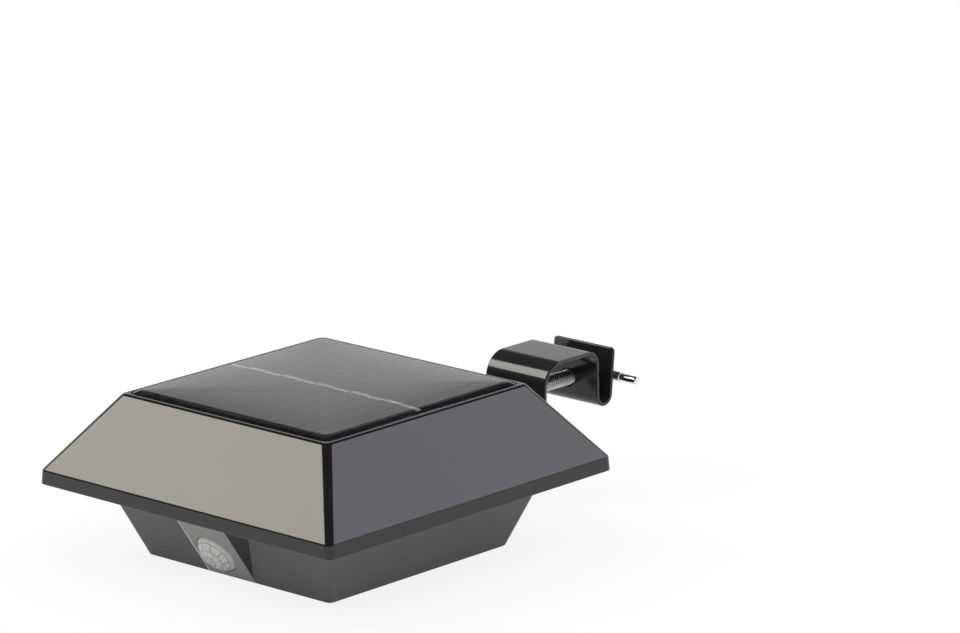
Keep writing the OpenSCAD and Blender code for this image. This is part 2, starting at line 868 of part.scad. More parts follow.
module led_board() {
    color([0.9, 0.9, 0.88])
        translate([0, window_y])
            difference() {
                slab(reflector_rim_w, reflector_rim_l, led_board_z, led_board_t, window_r);
                at_corners(led_post_x, led_post_y)
                    post(0, 0, led_board_z - overrun, led_board_top_z + overrun,
                        small_screw_r + case_hole_gap);
            }
}

module leds() {
    color([0.98, 0.9, 0.5])
        for (i = [0:led_cols - 1], j = [0:led_rows - 1])
            translate([
                (i - (led_cols - 1) / 2) * led_pitch_x - led_w / 2,
                window_y + (j - (led_rows - 1) / 2) * led_pitch_y - led_l / 2,
                led_board_z - led_h,
            ])
                cube([led_w, led_l, led_h]);
}

module led_board_screws() {
    color(zinc)
        translate([0, window_y, led_board_top_z])
            at_corners(led_post_x, led_post_y)
                headed_screw(small_screw_r, small_screw_len, small_head_r, small_head_h);
}

// Inner tray and battery

module lead_hole(place) {
    translate([place.x, place.y, tray_z - overrun])
        translate([-lead_hole_w / 2, -lead_hole_l / 2, 0])
            cube([lead_hole_w, lead_hole_l, tray_t + 2 * overrun]);
}

module cradle() {
    half_len = cradle_in + cradle_wall;
    half_w = battery_r + cradle_wall;
    difference() {
        union() {
            translate([-half_len, battery_y - half_w, tray_top_z - root])
                cube([2 * half_len, 2 * half_w, cradle_h + root]);
            for (side = [0, 1])
                mirror([side, 0, 0])
                    translate([cradle_in, battery_y - half_w, tray_top_z - root])
                        cube([cradle_wall, 2 * half_w, cradle_end_h + root]);
        }
        translate([-cradle_in, battery_y, battery_z])
            rotate([0, 90, 0])
                cylinder(r = battery_r + fit_gap, h = 2 * cradle_in);
        for (side = [0, 1])
            mirror([side, 0, 0])
                translate([contact_in, battery_y - contact_w / 2 - fit_gap, tray_top_z + cradle_floor])
                    cube([contact_t, contact_w + 2 * fit_gap, contact_h]);
    }
}

module inner_tray() {
    color([0.85, 0.85, 0.83])
        difference() {
            union() {
                slab(tray_w, tray_w, tray_z, tray_t, flange_r);
                cradle();
                translate([0, board_y])
                    at_corners(board_hole_x, board_hole_y)
                        post(0, 0, tray_top_z - root, board_z, board_boss_r);
            }
            at_corners(case_screw_at, case_screw_at)
                post(0, 0, tray_z - overrun, tray_top_z + overrun, case_boss_r + tray_corner_gap);
            at_tray_posts()
                post(0, 0, tray_z - overrun, tray_top_z + overrun, small_screw_r + case_hole_gap);
            translate([0, board_y])
                at_corners(board_hole_x, board_hole_y)
                    post(0, 0, board_z - small_screw_len + board_t, board_z + overrun,
                        small_screw_r + run_gap);
            lead_hole(led_lead_hole);
            lead_hole(sensor_lead_hole);
            lead_hole(switch_lead_hole);
        }
}

module tray_screws() {
    color(zinc)
        translate([0, 0, tray_top_z])
            at_tray_posts()
                headed_screw(small_screw_r, small_screw_len, small_head_r, small_head_h);
}

module battery_cell() {
    color([0.2, 0.45, 0.65])
        translate([-battery_len / 2, battery_y, battery_z])
            rotate([0, 90, 0]) {
                cylinder(r = battery_r, h = battery_len - battery_nub_h);
                cylinder(r = battery_nub_r, h = battery_len);
            }
}

module battery_contacts() {
    color([0.8, 0.78, 0.7])
        for (side = [0, 1])
            mirror([side, 0, 0]) {
                translate([contact_in, battery_y - contact_w / 2, tray_top_z + cradle_floor])
                    cube([contact_t, contact_w, contact_h]);
                translate([battery_len / 2, battery_y, battery_z])
                    rotate([0, 90, 0])
                        cylinder(r1 = battery_nub_r / 2, r2 = contact_bump_r, h = contact_bump_h);
            }
}

// Control board

module control_board() {
    color(board_green)
        difference() {
            translate([0, board_y])
                slab(board_w, board_l, board_z, board_t, window_r);
            translate([0, board_y])
                at_corners(board_hole_x, board_hole_y)
                    post(0, 0, board_z - overrun, board_top_z + overrun, small_screw_r + case_hole_gap);
        }
}

module control_board_screws() {
    color(zinc)
        translate([0, board_y, board_top_z])
            at_corners(board_hole_x, board_hole_y)
                headed_screw(small_screw_r, small_screw_len - root, small_head_r, small_head_h);
}

module board_parts() {
    capacitor = on_board(capacitor_shares);
    coil = on_board(coil_shares);
    color([0.15, 0.15, 0.16]) {
        post(capacitor.x, capacitor.y, board_top_z, board_top_z + capacitor_h, capacitor_r);
        post(coil.x, coil.y, board_top_z, board_top_z + coil_h, coil_r);
        for (shares = chip_shares)
            translate([on_board(shares).x - chip_w / 2, on_board(shares).y - chip_l / 2, board_top_z])
                cube([chip_w, chip_l, chip_h]);
    }
}

module socket(place) {
    translate([place.x - socket_w / 2, place.y - socket_l / 2, board_top_z])
        cube([socket_w, socket_l, socket_h]);
}

module lead_sockets() {
    color([0.9, 0.88, 0.8]) {
        socket(battery_socket);
        socket(panel_socket);
        socket(led_socket);
        socket(sensor_socket);
        socket(switch_socket);
    }
}

// Motion sensor

// Outside of the lens when in is zero, or its hollow when in is its skin
module lens_form(in) {
    r = lens_r - in;
    h = lens_dome_h - in;
    ball = dome_radius(r, h);
    intersection() {
        translate([0, 0, h - ball])
            sphere(r = ball);
        cylinder(r = r, h = h + overrun);
    }
    translate([0, 0, -sensor_wall - lens_rim_h])
        cylinder(r = r, h = sensor_wall + lens_rim_h + root / 10);
}

module sensor_lens() {
    color([0.95, 0.95, 0.95])
        on_sensor()
            difference() {
                union() {
                    lens_form(0);
                    translate([0, 0, -sensor_wall - lens_rim_h])
                        cylinder(r = lens_r + lens_rim, h = lens_rim_h);
                }
                lens_form(lens_skin);
                translate([0, 0, -sensor_wall - lens_rim_h - overrun])
                    cylinder(r = lens_r - lens_skin, h = 2 * overrun);
            }
}

module sensor_board() {
    color(board_green)
        on_sensor()
            translate([-sensor_board_w / 2, -sensor_board_l / 2, -sensor_board_in])
                cube([sensor_board_w, sensor_board_l, sensor_board_t]);
}

module sensor_element() {
    color(zinc)
        on_sensor()
            translate([0, 0, sensor_board_t - sensor_board_in]) {
                cylinder(r = element_r, h = element_h);
                cylinder(r = element_foot_r, h = element_foot_h);
            }
}

// Power button and switch

module power_button() {
    color([0.75, 0.1, 0.1]) {
        post(button_x, button_y, button_sink, floor_t + button_rim_h, button_r);
        post(button_x, button_y, floor_t, floor_t + button_rim_h, button_r + button_rim);
    }
}

module switch_plunger() {
    plunger_z = floor_t + button_rim_h;
    color([0.1, 0.1, 0.1])
        post(button_x, button_y, plunger_z, plunger_z + plunger_h, plunger_r);
}

module switch_body() {
    color([0.25, 0.25, 0.27])
        difference() {
            translate([button_x - switch_w / 2, button_y - switch_w / 2, switch_z])
                cube([switch_w, switch_w, switch_h]);
            post(button_x, button_y, switch_z - overrun, switch_z + switch_bore_h, plunger_r + run_gap);
        }
}

module switch_board() {
    color(board_green)
        difference() {
            translate([button_x - switch_board_w / 2, button_y - switch_board_l / 2, switch_board_z])
                cube([switch_board_w, switch_board_l, switch_board_t]);
            for (side = [-1, 1])
                post(button_x + side * switch_post_x, button_y, switch_board_z - overrun,
                    switch_board_top_z + overrun, switch_screw_r + case_hole_gap);
        }
}

module switch_board_screws() {
    color(zinc)
        for (side = [-1, 1])
            translate([button_x + side * switch_post_x, button_y, switch_board_top_z])
                headed_screw(switch_screw_r, switch_screw_len, switch_head_r, switch_head_h);
}

// Leads, swept as tubes along smoothed routes

// A point between b and c on the smooth curve through a, b, c and d
function smooth_point(a, b, c, d, t) =
    (2 * b + (c - a) * t + (2 * a - 5 * b + 4 * c - d) * t * t + (3 * b - a - 3 * c + d) * t * t * t) / 2;
function smooth(route) = let (last = len(route) - 1) concat(
    [for (i = [0:last - 1], k = [0:lead_steps - 1]) smooth_point(
        route[max(i - 1, 0)], route[i], route[i + 1], route[min(i + 2, last)], k / lead_steps)],
    [route[last]]
);
function unit(v) = v / norm(v);
// Heading at each point of the line, square to the faces at its two ends
function headings(line, route) = let (last = len(line) - 1) [
    for (i = [0:last])
        i == 0 ? unit(route[1] - route[0])
            : i == last ? unit(route[len(route) - 1] - route[len(route) - 2])
            : unit(line[i + 1] - line[i - 1])
];
// Ring of points round a point of the line, flat against the direction side
function tube_ring(point, heading, side) =
    let (u = unit(cross(heading, side)), v = cross(heading, u))
    [for (k = [0:lead_sides - 1])
        point + lead_r * (cos(360 * k / lead_sides) * u + sin(360 * k / lead_sides) * v)];

// One lead from a face, out of it along a direction, through a route and into another face
module lead(start, out, route, end, in, side) {
    points = concat([start, start + lead_stub * out], route, [end - lead_stub * in, end]);
    line = smooth(points);
    along = headings(line, points);
    n = lead_sides;
    rings = len(line);
    polyhedron(
        points = [for (i = [0:rings - 1]) each tube_ring(line[i], along[i], side)],
        faces = concat(
            [[for (k = [0:n - 1]) k]],
            [[for (k = [n - 1:-1:0]) (rings - 1) * n + k]],
            [for (i = [0:rings - 2], k = [0:n - 1]) each [
                [i * n + k, (i + 1) * n + k, i * n + (k + 1) % n],
                [i * n + (k + 1) % n, (i + 1) * n + k, (i + 1) * n + (k + 1) % n],
            ]]
        )
    );
}

// Two leads side by side along X, into the top of a socket
module lead_pair(start, out, route, place) {
    color(lead_red)
        for (side = [-1, 1])
            translate([side * lead_spread, 0, 0])
                lead(start, out, route, [place.x, place.y, socket_top_z], [0, 0, -1], [1, 0, 0]);
}

module panel_leads() {
    lead_pair([panel_socket.x, panel_lead_y, backboard_z], [0, 0, -1], panel_route, panel_socket);
}

module battery_leads() {
    y = battery_socket.y + socket_l / 2;
    z = socket_top_z - socket_h / 2;
    color(lead_red) {
        lead([-cradle_in, battery_y, contact_lead_z], [-1, 0, 0], battery_left_route,
            [battery_socket.x - lead_spread, y, z], [0, -1, 0], [0, 0, 1]);
        lead([cradle_in, battery_y, contact_lead_z], [1, 0, 0], battery_right_route,
            [battery_socket.x + lead_spread, y, z], [0, -1, 0], [0, 0, 1]);
    }
}

module led_leads() {
    lead_pair([led_lead_hole.x, led_lead_hole.y, led_board_top_z], [0, 0, 1], led_route, led_socket);
}

// These leave the back of the sensor's board and pass over its upper edge
module sensor_leads() {
    lead_pair(
        [
            lens_x,
            sensor_front_y(lens_z) + sensor_board_in * cos(sensor_lean) - sensor_lead_up * sin(sensor_lean),
            lens_z + sensor_board_in * sin(sensor_lean) + sensor_lead_up * cos(sensor_lean),
        ],
        [0, cos(sensor_lean), sin(sensor_lean)], sensor_route, sensor_socket
    );
}

module switch_leads() {
    lead_pair([switch_socket.x, button_y, switch_board_top_z], [0, 0, 1], switch_route, switch_socket);
}

// Bracket

function after_straight(p, heading, length) = p + length * [cos(heading), sin(heading)];
function left_of(heading) = [-sin(heading), cos(heading)];
function after_bend(p, heading, r, turn) =
    p + r * sign(turn) * (left_of(heading) - left_of(heading + turn));
// Where each stretch starts and its heading, from the bracket's lower end on
function strip_starts(i, p, heading) = i == len(stretches) ? [] : let (
    s = stretches[i],
    q = after_bend(after_straight(p, heading, s[0]), heading, s[1], s[2])
) concat([[p, heading]], strip_starts(i + 1, q, heading + s[2]));

// Points along one edge of the strip, on the left of its run when side is 1
function strip_edge(starts, side) = concat(
    [starts[0][0] + side * strip_t / 2 * left_of(starts[0][1])],
    [for (i = [0:len(stretches) - 1], k = [0:stretches[i][2] == 0 ? 0 : bend_steps])
        let (
            s = stretches[i],
            heading = starts[i][1],
            turn = s[2] * k / bend_steps,
            q = after_bend(after_straight(starts[i][0], heading, s[0]), heading, s[1], turn)
        ) q + side * strip_t / 2 * left_of(heading + turn)]
);
function reversed(list) = [for (i = [len(list) - 1:-1:0]) list[i]];

module strip_profile() {
    starts = strip_starts(0, plate_start, plate_heading);
    polygon(concat(strip_edge(starts, 1), reversed(strip_edge(starts, -1))));
}

// Rounds one corner of the outer plate's free edge
module outer_corner() {
    difference() {
        translate([0, -strip_t - overrun, 0])
            cube([outer_corner_r + overrun, 2 * strip_t + 2 * overrun, outer_corner_r + overrun]);
        translate([0, -strip_t - 2 * overrun, 0])
            rotate([-90, 0, 0])
                cylinder(r = outer_corner_r, h = 2 * strip_t + 4 * overrun);
    }
}

// Places things on the clamp screw's axis, with Z along +Y
module on_screw() {
    translate([0, 0, screw_z])
        rotate([-90, 0, 0])
            children();
}

module bracket() {
    starts = strip_starts(0, plate_start, plate_heading);
    last = starts[len(starts) - 1];
    end = after_straight(last[0], last[1], stretches[len(stretches) - 1][0]);
    color(steel_black)
        difference() {
            rotate([90, 0, 90])
                translate([0, 0, -strip_w / 2])
                    linear_extrude(strip_w)
                        strip_profile();
            on_back_wall()
                translate([0, 0, -overrun])
                    cylinder(r = bracket_screw_r + bracket_hole_gap, h = strip_t + 2 * overrun);
            on_screw()
                translate([0, 0, nut_plate_y - overrun])
                    cylinder(r = screw_r + screw_hole_gap, h = bar_y - nut_plate_y);
            for (side = [0, 1])
                mirror([side, 0, 0])
                    translate([strip_w / 2 - outer_corner_r, end.x, end.y])
                        rotate([-outer_lean, 0, 0])
                            translate([0, 0, -outer_corner_r])
                                outer_corner();
        }
}

module bracket_inserts() {
    color([0.8, 0.65, 0.3])
        on_back_wall()
            translate([0, 0, -insert_len])
                difference() {
                    cylinder(r = insert_r, h = insert_len);
                    translate([0, 0, -overrun])
                        cylinder(r = bracket_screw_r + run_gap, h = insert_len + 2 * overrun);
                }
}

module bracket_washers() {
    color(zinc)
        on_back_wall()
            translate([0, 0, strip_t])
                difference() {
                    cylinder(r = washer_r, h = washer_t);
                    translate([0, 0, -overrun])
                        cylinder(r = bracket_screw_r + bracket_hole_gap, h = washer_t + 2 * overrun);
                }
}

module bracket_screws() {
    color(zinc)
        on_back_wall()
            translate([0, 0, strip_t + washer_t])
                headed_screw(bracket_screw_r, bracket_screw_len + strip_t + washer_t, bracket_head_r,
                    bracket_head_h);
}

// Clamp

module clamp_nut() {
    color(zinc)
        on_screw()
            translate([0, 0, nut_y])
                difference() {
                    cylinder(r = nut_across / 2 / cos(30), h = nut_h, $fn = 6);
                    translate([0, 0, -overrun])
                        cylinder(r = screw_r + run_gap, h = nut_h + 2 * overrun);
                }
}

// Swivel foot, hollow behind its face so that it turns freely on the screw's tip
module clamp_foot() {
    color(zinc)
        on_screw()
            translate([0, 0, foot_y])
                difference() {
                    union() {
                        cylinder(r1 = foot_r - foot_bevel, r2 = foot_r, h = foot_bevel);
                        translate([0, 0, foot_bevel])
                            cylinder(r = foot_r, h = foot_h - foot_bevel);
                    }
                    translate([0, 0, foot_skin])
                        cylinder(r = tip_head_r + foot_play, h = tip_head_h + 2 * foot_end_gap);
                    translate([0, 0, foot_skin])
                        cylinder(r = tip_neck_r + foot_play, h = foot_h);
                }
}

module clamp_screw() {
    tip_y = foot_y + foot_skin + foot_end_gap;
    end_y = bar_y + screw_end;
    color(zinc)
        difference() {
            on_screw() {
                translate([0, 0, tip_y])
                    cylinder(r = tip_head_r, h = tip_head_h);
                translate([0, 0, tip_y])
                    cylinder(r = tip_neck_r, h = shank_y - tip_y + root);
                translate([0, 0, shank_y])
                    cylinder(r1 = screw_r - screw_bevel, r2 = screw_r, h = screw_bevel);
                translate([0, 0, shank_y + screw_bevel])
                    cylinder(r = screw_r, h = end_y - shank_y - 2 * screw_bevel);
                translate([0, 0, end_y - screw_bevel])
                    cylinder(r1 = screw_r, r2 = screw_r - screw_bevel, h = screw_bevel);
            }
            translate([-screw_r - overrun, bar_y, screw_z])
                rotate([0, 90, 0])
                    cylinder(r = bar_r, h = 2 * screw_r + 2 * overrun);
        }
}

module clamp_bar() {
    mid = bar_len / 2 - bar_end_len;
    color(zinc)
        translate([0, bar_y, screw_z])
            for (side = [0, 1])
                mirror([side, 0, 0])
                    rotate([0, 90, 0]) {
                        cylinder(r = bar_r, h = mid);
                        cylinder(r = bar_end_r, h = bar_len / 2 - bar_bevel);
                        translate([0, 0, bar_len / 2 - bar_bevel])
                            cylinder(r1 = bar_end_r, r2 = bar_end_r - bar_bevel, h = bar_bevel);
                    }
}

hood();
panel_seal();
panel_backboard();
solar_cells();
cell_ribbons();
panel_resin();
base();
base_gasket();
case_screws();
diffuser();
reflector();
led_board();
leds();
led_board_screws();
inner_tray();
tray_screws();
battery_cell();
battery_contacts();
control_board();
board_parts();
lead_sockets();
control_board_screws();
sensor_lens();
sensor_element();
sensor_board();
power_button();
switch_plunger();
switch_body();
switch_board();
switch_board_screws();
panel_leads();
battery_leads();
led_leads();
sensor_leads();
switch_leads();
bracket();
bracket_inserts();
bracket_screws();
bracket_washers();
clamp_nut();
clamp_foot();
clamp_screw();
clamp_bar();
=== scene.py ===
"""Looks of a solar fence light with a motion sensor and a screw clamp."""

import math

import bpy
from mathutils import Matrix, Vector


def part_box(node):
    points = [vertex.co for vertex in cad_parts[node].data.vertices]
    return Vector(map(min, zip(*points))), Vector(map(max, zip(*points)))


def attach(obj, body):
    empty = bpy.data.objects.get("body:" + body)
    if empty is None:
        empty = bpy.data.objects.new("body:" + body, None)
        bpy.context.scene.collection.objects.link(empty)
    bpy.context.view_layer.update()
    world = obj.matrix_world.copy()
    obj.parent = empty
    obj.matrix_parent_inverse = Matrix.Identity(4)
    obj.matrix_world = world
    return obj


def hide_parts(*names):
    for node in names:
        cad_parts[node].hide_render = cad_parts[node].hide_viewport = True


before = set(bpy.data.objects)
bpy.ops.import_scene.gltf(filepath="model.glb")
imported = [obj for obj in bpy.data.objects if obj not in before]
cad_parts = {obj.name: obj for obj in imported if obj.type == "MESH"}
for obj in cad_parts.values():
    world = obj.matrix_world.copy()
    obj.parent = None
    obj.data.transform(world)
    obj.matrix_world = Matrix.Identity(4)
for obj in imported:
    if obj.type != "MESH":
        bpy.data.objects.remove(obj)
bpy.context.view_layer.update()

MM = 0.001

# Sizes that finishes and shapes share, in millimetres, from the middle of the base's underside
BASE_HALF = 46
BASE_EAVE_HALF = 56.75
BASE_DEPTH = 27.5
HOUSING_X = -2.4
PLATE_HALF = 11.8
LENS_X = -3.6
LENS_UP = 11.9
LENS_R = 8.3
LENS_RISE = 4.0

# How far the motion sensor's slanted face and the base's walls lean from upright
LEAN = math.radians(34.2)
WALL_LEAN = math.atan((BASE_EAVE_HALF - BASE_HALF) / BASE_DEPTH)


# Camera


# Angles in degrees, lens and sensor in millimetres, target and distance in metres
CAMERA_ANGLES = (42.93, 14.63, -0.80)
CAMERA_LENS = 197.55
CAMERA_SENSOR = 36
CAMERA_TARGET = (0.03307, 0.04706, 0.08323)
CAMERA_DISTANCE = 1.898
CAMERA_CLIP = 0.05


def aim_camera():
    """Puts the camera where the photograph was taken from, seen from the part's own frame."""
    azimuth, elevation, roll = (math.radians(a) for a in CAMERA_ANGLES)
    back = Vector((
        math.sin(azimuth) * math.cos(elevation),
        -math.cos(azimuth) * math.cos(elevation),
        math.sin(elevation),
    ))
    level = (-back).cross(Vector((0, 0, 1))).normalized()
    upright = level.cross(-back).normalized()
    right = level * math.cos(roll) + upright * math.sin(roll)
    up = upright * math.cos(roll) - level * math.sin(roll)
    camera = bpy.data.objects.new("camera", bpy.data.cameras.new("camera"))
    bpy.context.scene.collection.objects.link(camera)
    camera.data.sensor_fit = "HORIZONTAL"
    camera.data.sensor_width = CAMERA_SENSOR
    camera.data.lens = CAMERA_LENS
    camera.data.clip_start = CAMERA_CLIP
    place = Vector(CAMERA_TARGET) + back * CAMERA_DISTANCE
    turn = Matrix((right, up, back)).transposed()
    camera.matrix_world = Matrix.Translation(place) @ turn.to_4x4()
    bpy.context.scene.camera = camera


aim_camera()
bpy.context.scene.view_settings.view_transform = "Standard"


# Shader maths


class Value:
    """A number that changes over a surface; sums written with it add their Math nodes."""

    def __init__(self, finish, socket):
        self.finish = finish
        self.socket = socket

    def math(self, operation, *values):
        node = self.finish.node("ShaderNodeMath", {"operation": operation}, dict(enumerate(values)))
        return Value(self.finish, node.outputs[0])

    def __add__(self, other):
        return self.math("ADD", self, other)

    def __sub__(self, other):
        return self.math("SUBTRACT", self, other)

    def __rsub__(self, other):
        return self.math("SUBTRACT", other, self)

    def __mul__(self, other):
        return self.math("MULTIPLY", self, other)

    def __truediv__(self, other):
        return self.math("DIVIDE", self, other)

    def __mod__(self, other):
        return self.math("FLOORED_MODULO", self, other)

    def __gt__(self, other):
        return self.math("GREATER_THAN", self, other)

    def __lt__(self, other):
        return self.math("LESS_THAN", self, other)

    def size(self):
        return self.math("ABSOLUTE", self)

    def clamped(self):
        return self.math("MINIMUM", self.math("MAXIMUM", self, 0), 1)


class Finish:
    """One finish, mixed from nodes on object coordinates in metres."""

    def __init__(self, name, **settings):
        self.material = bpy.data.materials.new(name)
        self.material.use_nodes = True
        self.tree = self.material.node_tree
        self.shader = self.tree.nodes["Principled BSDF"]
        for key, value in settings.items():
            label = key.replace("_", " ").title().replace("Ior", "IOR")
            self.shader.inputs[label].default_value = value
        self.place = self.node("ShaderNodeTexCoord").outputs["Object"]
        apart = self.node("ShaderNodeSeparateXYZ", {}, {0: self.place})
        self.x, self.y, self.z = (Value(self, apart.outputs[i]) for i in range(3))

    def node(self, kind, settings=None, inputs=None):
        node = self.tree.nodes.new(kind)
        for key, value in (settings or {}).items():
            setattr(node, key, value)
        for key, value in (inputs or {}).items():
            if isinstance(value, Value):
                value = value.socket
            if isinstance(value, bpy.types.NodeSocket):
                self.tree.links.new(value, node.inputs[key])
            else:
                node.inputs[key].default_value = value
        return node

    def noise(self, scale, detail=3, roughness=0.5, stretch=(1, 1, 1)):
        where = self.place
        if stretch != (1, 1, 1):
            mapping = self.node("ShaderNodeMapping", {}, {"Vector": where, "Scale": stretch})
            where = mapping.outputs[0]
        node = self.node("ShaderNodeTexNoise", {}, {
            "Vector": where, "Scale": scale, "Detail": detail, "Roughness": roughness,
        })
        return Value(self, node.outputs["Fac"])

    def blend(self, share, a, b):
        """A colour between two others."""
        node = self.node("ShaderNodeMix", {"data_type": "RGBA"}, {
            0: share, 6: self.rgb(a), 7: self.rgb(b),
        })
        return node.outputs[2]

    def rgb(self, colour):
        return (*colour, 1) if isinstance(colour, tuple) and len(colour) == 3 else colour

    def band(self, value, low, high):
        """Rises from 0 to 1 as the value goes from low to high."""
        node = self.node("ShaderNodeMapRange", {"interpolation_type": "SMOOTHSTEP"}, {
            "Value": value, "From Min": low, "From Max": high,
        })
        return Value(self, node.outputs[0])

    def feed(self, name, value):
        socket = value.socket if isinstance(value, Value) else value
        self.tree.links.new(socket, self.shader.inputs[name])

    def bump(self, height, depth, strength=1.0):
        node = self.node("ShaderNodeBump", {}, {
            "Height": height, "Distance": depth, "Strength": strength,
        })
        self.tree.links.new(node.outputs[0], self.shader.inputs["Normal"])


def moulded(name, colour, roughness, grain=2600, depth=0.00001, cloud=0.12, **settings):
    """Moulded plastic or lacquer: a fine grain, a slow drift of tone and a few duller patches."""
    finish = Finish(name, **settings)
    drift = finish.noise(38, 3)
    darker = tuple(c * (1 - cloud) for c in colour)
    lighter = tuple(min(1, c * (1 + cloud)) for c in colour)
    finish.feed("Base Color", finish.blend(drift, darker, lighter))
    finish.feed("Roughness", (finish.noise(90, 4) - 0.5) * (0.35 * roughness) + roughness)
    finish.bump(finish.noise(grain, 2), depth)
    return finish.material


def plated(name, colour, roughness, brush=(1, 1, 1), depth=0.000004, metallic=1.0):
    """Metal with a faint grain along one direction and duller, slightly darker patches."""
    finish = Finish(name, metallic=metallic)
    dull = finish.band(finish.noise(140, 4), 0.4, 0.75)
    finish.feed("Base Color", finish.blend(dull, colour, tuple(c * 0.82 for c in colour)))
    grain = finish.noise(900, 3, stretch=brush)
    finish.feed("Roughness", grain * (0.6 * roughness) + dull * 0.08 + 0.7 * roughness)
    finish.bump(finish.noise(1500, 3, stretch=brush), depth)
    return finish.material


def gloss_black():
    """Black moulding with a high gloss, a faint orange peel and a little dust."""
    finish = Finish("gloss_black_plastic", ior=1.5, specular_ior_level=0.5)
    dust = finish.band(finish.noise(2400, 2, 0.7), 0.70, 0.82)
    drift = finish.noise(24, 3)
    colour = finish.blend(drift, (0.0065, 0.0065, 0.007), (0.010, 0.010, 0.0105))
    finish.feed("Base Color", finish.blend(dust * 0.25, colour, (0.10, 0.10, 0.10)))
    finish.feed("Roughness", finish.noise(60, 3) * 0.05 + dust * 0.12 + 0.105)
    finish.bump(finish.noise(420, 2), 0.0000045)
    return finish.material


def satin_grey():
    """Dark grey moulding with a fine spark grain that dulls its shine.

    By place, the sensor's plate is painted lighter as painted light, a painted highlight line runs
    along its left edge, and the cheeks beside it carry painted shade, nearly black. The moulding
    itself is of one colour.
    """
    finish = Finish("satin_grey_plastic", ior=1.46)
    spark = finish.noise(5200, 2, 0.6)
    drift = finish.noise(30, 3)
    colour = finish.blend(drift, (0.090, 0.087, 0.084), (0.106, 0.102, 0.099))
    speckled = finish.blend(finish.band(spark, 0.45, 0.7) * 0.5, colour, (0.15, 0.146, 0.142))
    ahead = finish.y + BASE_HALF * MM
    off_plate = ((ahead + finish.z * math.tan(LEAN)) * math.cos(LEAN)).size()
    aside = (finish.x - HOUSING_X * MM).size()
    before_base = finish.y < -(BASE_HALF + 0.2) * MM
    on_plate = aside < (PLATE_HALF + 0.1) * MM
    plate = (1 - finish.band(off_plate, 0.2 * MM, 0.4 * MM)) * before_base * on_plate
    painted_highlight_edge = finish.x < (HOUSING_X - PLATE_HALF + 0.45) * MM
    before_wall = (ahead + finish.z * math.tan(WALL_LEAN)) < -0.5 * MM
    painted_shade_cheek = (aside > (PLATE_HALF - 0.08) * MM) * before_wall * (1 - plate)
    # Painted light: the slanted plate is painted lighter than the moulding around it.
    tone = finish.blend(plate * 0.8, speckled, (0.27, 0.262, 0.25))
    # Painted highlight: a bright line along the plate's left edge.
    tone = finish.blend(plate * painted_highlight_edge * 0.9, tone, (0.75, 0.74, 0.72))
    # Painted shade: the cheeks beside the plate are painted nearly black.
    finish.feed("Base Color", finish.blend(painted_shade_cheek, tone, (0.004, 0.004, 0.004)))
    finish.feed("Roughness", finish.noise(70, 3) * 0.10 + 0.42 - plate * 0.16 - painted_shade_cheek * 0.2)
    finish.bump(spark, 0.000022, 0.8)
    return finish.material


def cell_finish():
    """Dark violet solar cell with silver fingers along it and a mottled film."""
    finish = Finish("solar_cell", ior=1.6)
    pitch = 1.4 * MM
    along = ((finish.x % pitch) / pitch - 0.5).size()
    finger = 1 - finish.band(along, 0.06, 0.13)
    film = finish.noise(260, 5, 0.6)
    colour = finish.blend(film, (0.006, 0.006, 0.011), (0.014, 0.012, 0.022))
    finish.feed("Base Color", finish.blend(finger * 0.7, colour, (0.42, 0.42, 0.44)))
    finish.feed("Roughness", 0.42 - finger * 0.12)
    finish.bump(film + finger, 0.00002, 0.4)
    return finish.material


def resin_finish():
    """Clear cast resin over the cells, with a broad dome and shallow waves from bump alone."""
    finish = Finish("clear_resin", transmission_weight=1.0, ior=1.47)
    haze = finish.noise(55, 4)
    finish.feed("Base Color", finish.blend(haze, (0.96, 0.96, 0.97), (1.0, 1.0, 1.0)))
    finish.feed("Roughness", haze * 0.06 + 0.06)
    half = 50 * MM
    across, along = finish.x * (1 / half), finish.y * (1 / half)
    dome = (1 - across * across) * (1 - along * along)
    finish.bump(dome + finish.noise(70, 2) * 0.01, 0.0005)
    return finish.material


def opal_finish(name, colour):
    """Milky plastic that lets some light into itself."""
    finish = Finish(name, ior=1.45, subsurface_weight=0.3, subsurface_scale=0.002)
    cloud = finish.noise(120, 4)
    finish.feed("Base Color", finish.blend(cloud, tuple(c * 0.95 for c in colour), colour))
    finish.feed("Roughness", finish.noise(300, 3) * 0.12 + 0.38)
    finish.bump(finish.noise(1800, 2), 0.00001)
    return finish.material


def lens_finish():
    """Milky lens plastic, with rings of small panes drawn by colour and bump alone; the colour is
    painted shade, darker lines in the grooves between panes.
    """
    finish = Finish("lens_plastic", ior=1.45, subsurface_weight=0.15, subsurface_scale=0.002)
    ring_w, panes, ring_turn, drawn_r = 2.4 * MM, 9, 0.37, 7.2 * MM
    reach = LENS_UP * MM
    across = finish.x - LENS_X * MM
    along = (finish.z - reach * math.cos(LEAN)) * math.cos(LEAN) \
        - (finish.y + BASE_HALF * MM + reach * math.sin(LEAN)) * math.sin(LEAN)
    squares = across * across + along * along
    radius = squares.math("SQRT", squares)
    ring = radius / ring_w
    turn = along.math("ARCTAN2", along, across) / (2 * math.pi) + 0.5
    pane = (turn * panes + (ring - ring % 1) * ring_turn) % 1
    between_rings = finish.band((ring % 1 - 0.5).size(), 0.40, 0.48)
    between_panes = finish.band((pane - 0.5).size(), 0.42, 0.48)
    groove_shade = (between_rings + between_panes).clamped() * (radius < drawn_r)
    # Painted shade: the grooves between rings and panes are painted darker.
    finish.feed("Base Color", finish.blend(groove_shade * 0.4, (0.60, 0.60, 0.59), (0.36, 0.36, 0.355)))
    finish.feed("Roughness", finish.noise(300, 3) * 0.10 + 0.2)
    finish.bump((pane - 0.5) * (ring % 1) - groove_shade * 0.5, 0.0007)
    return finish.material


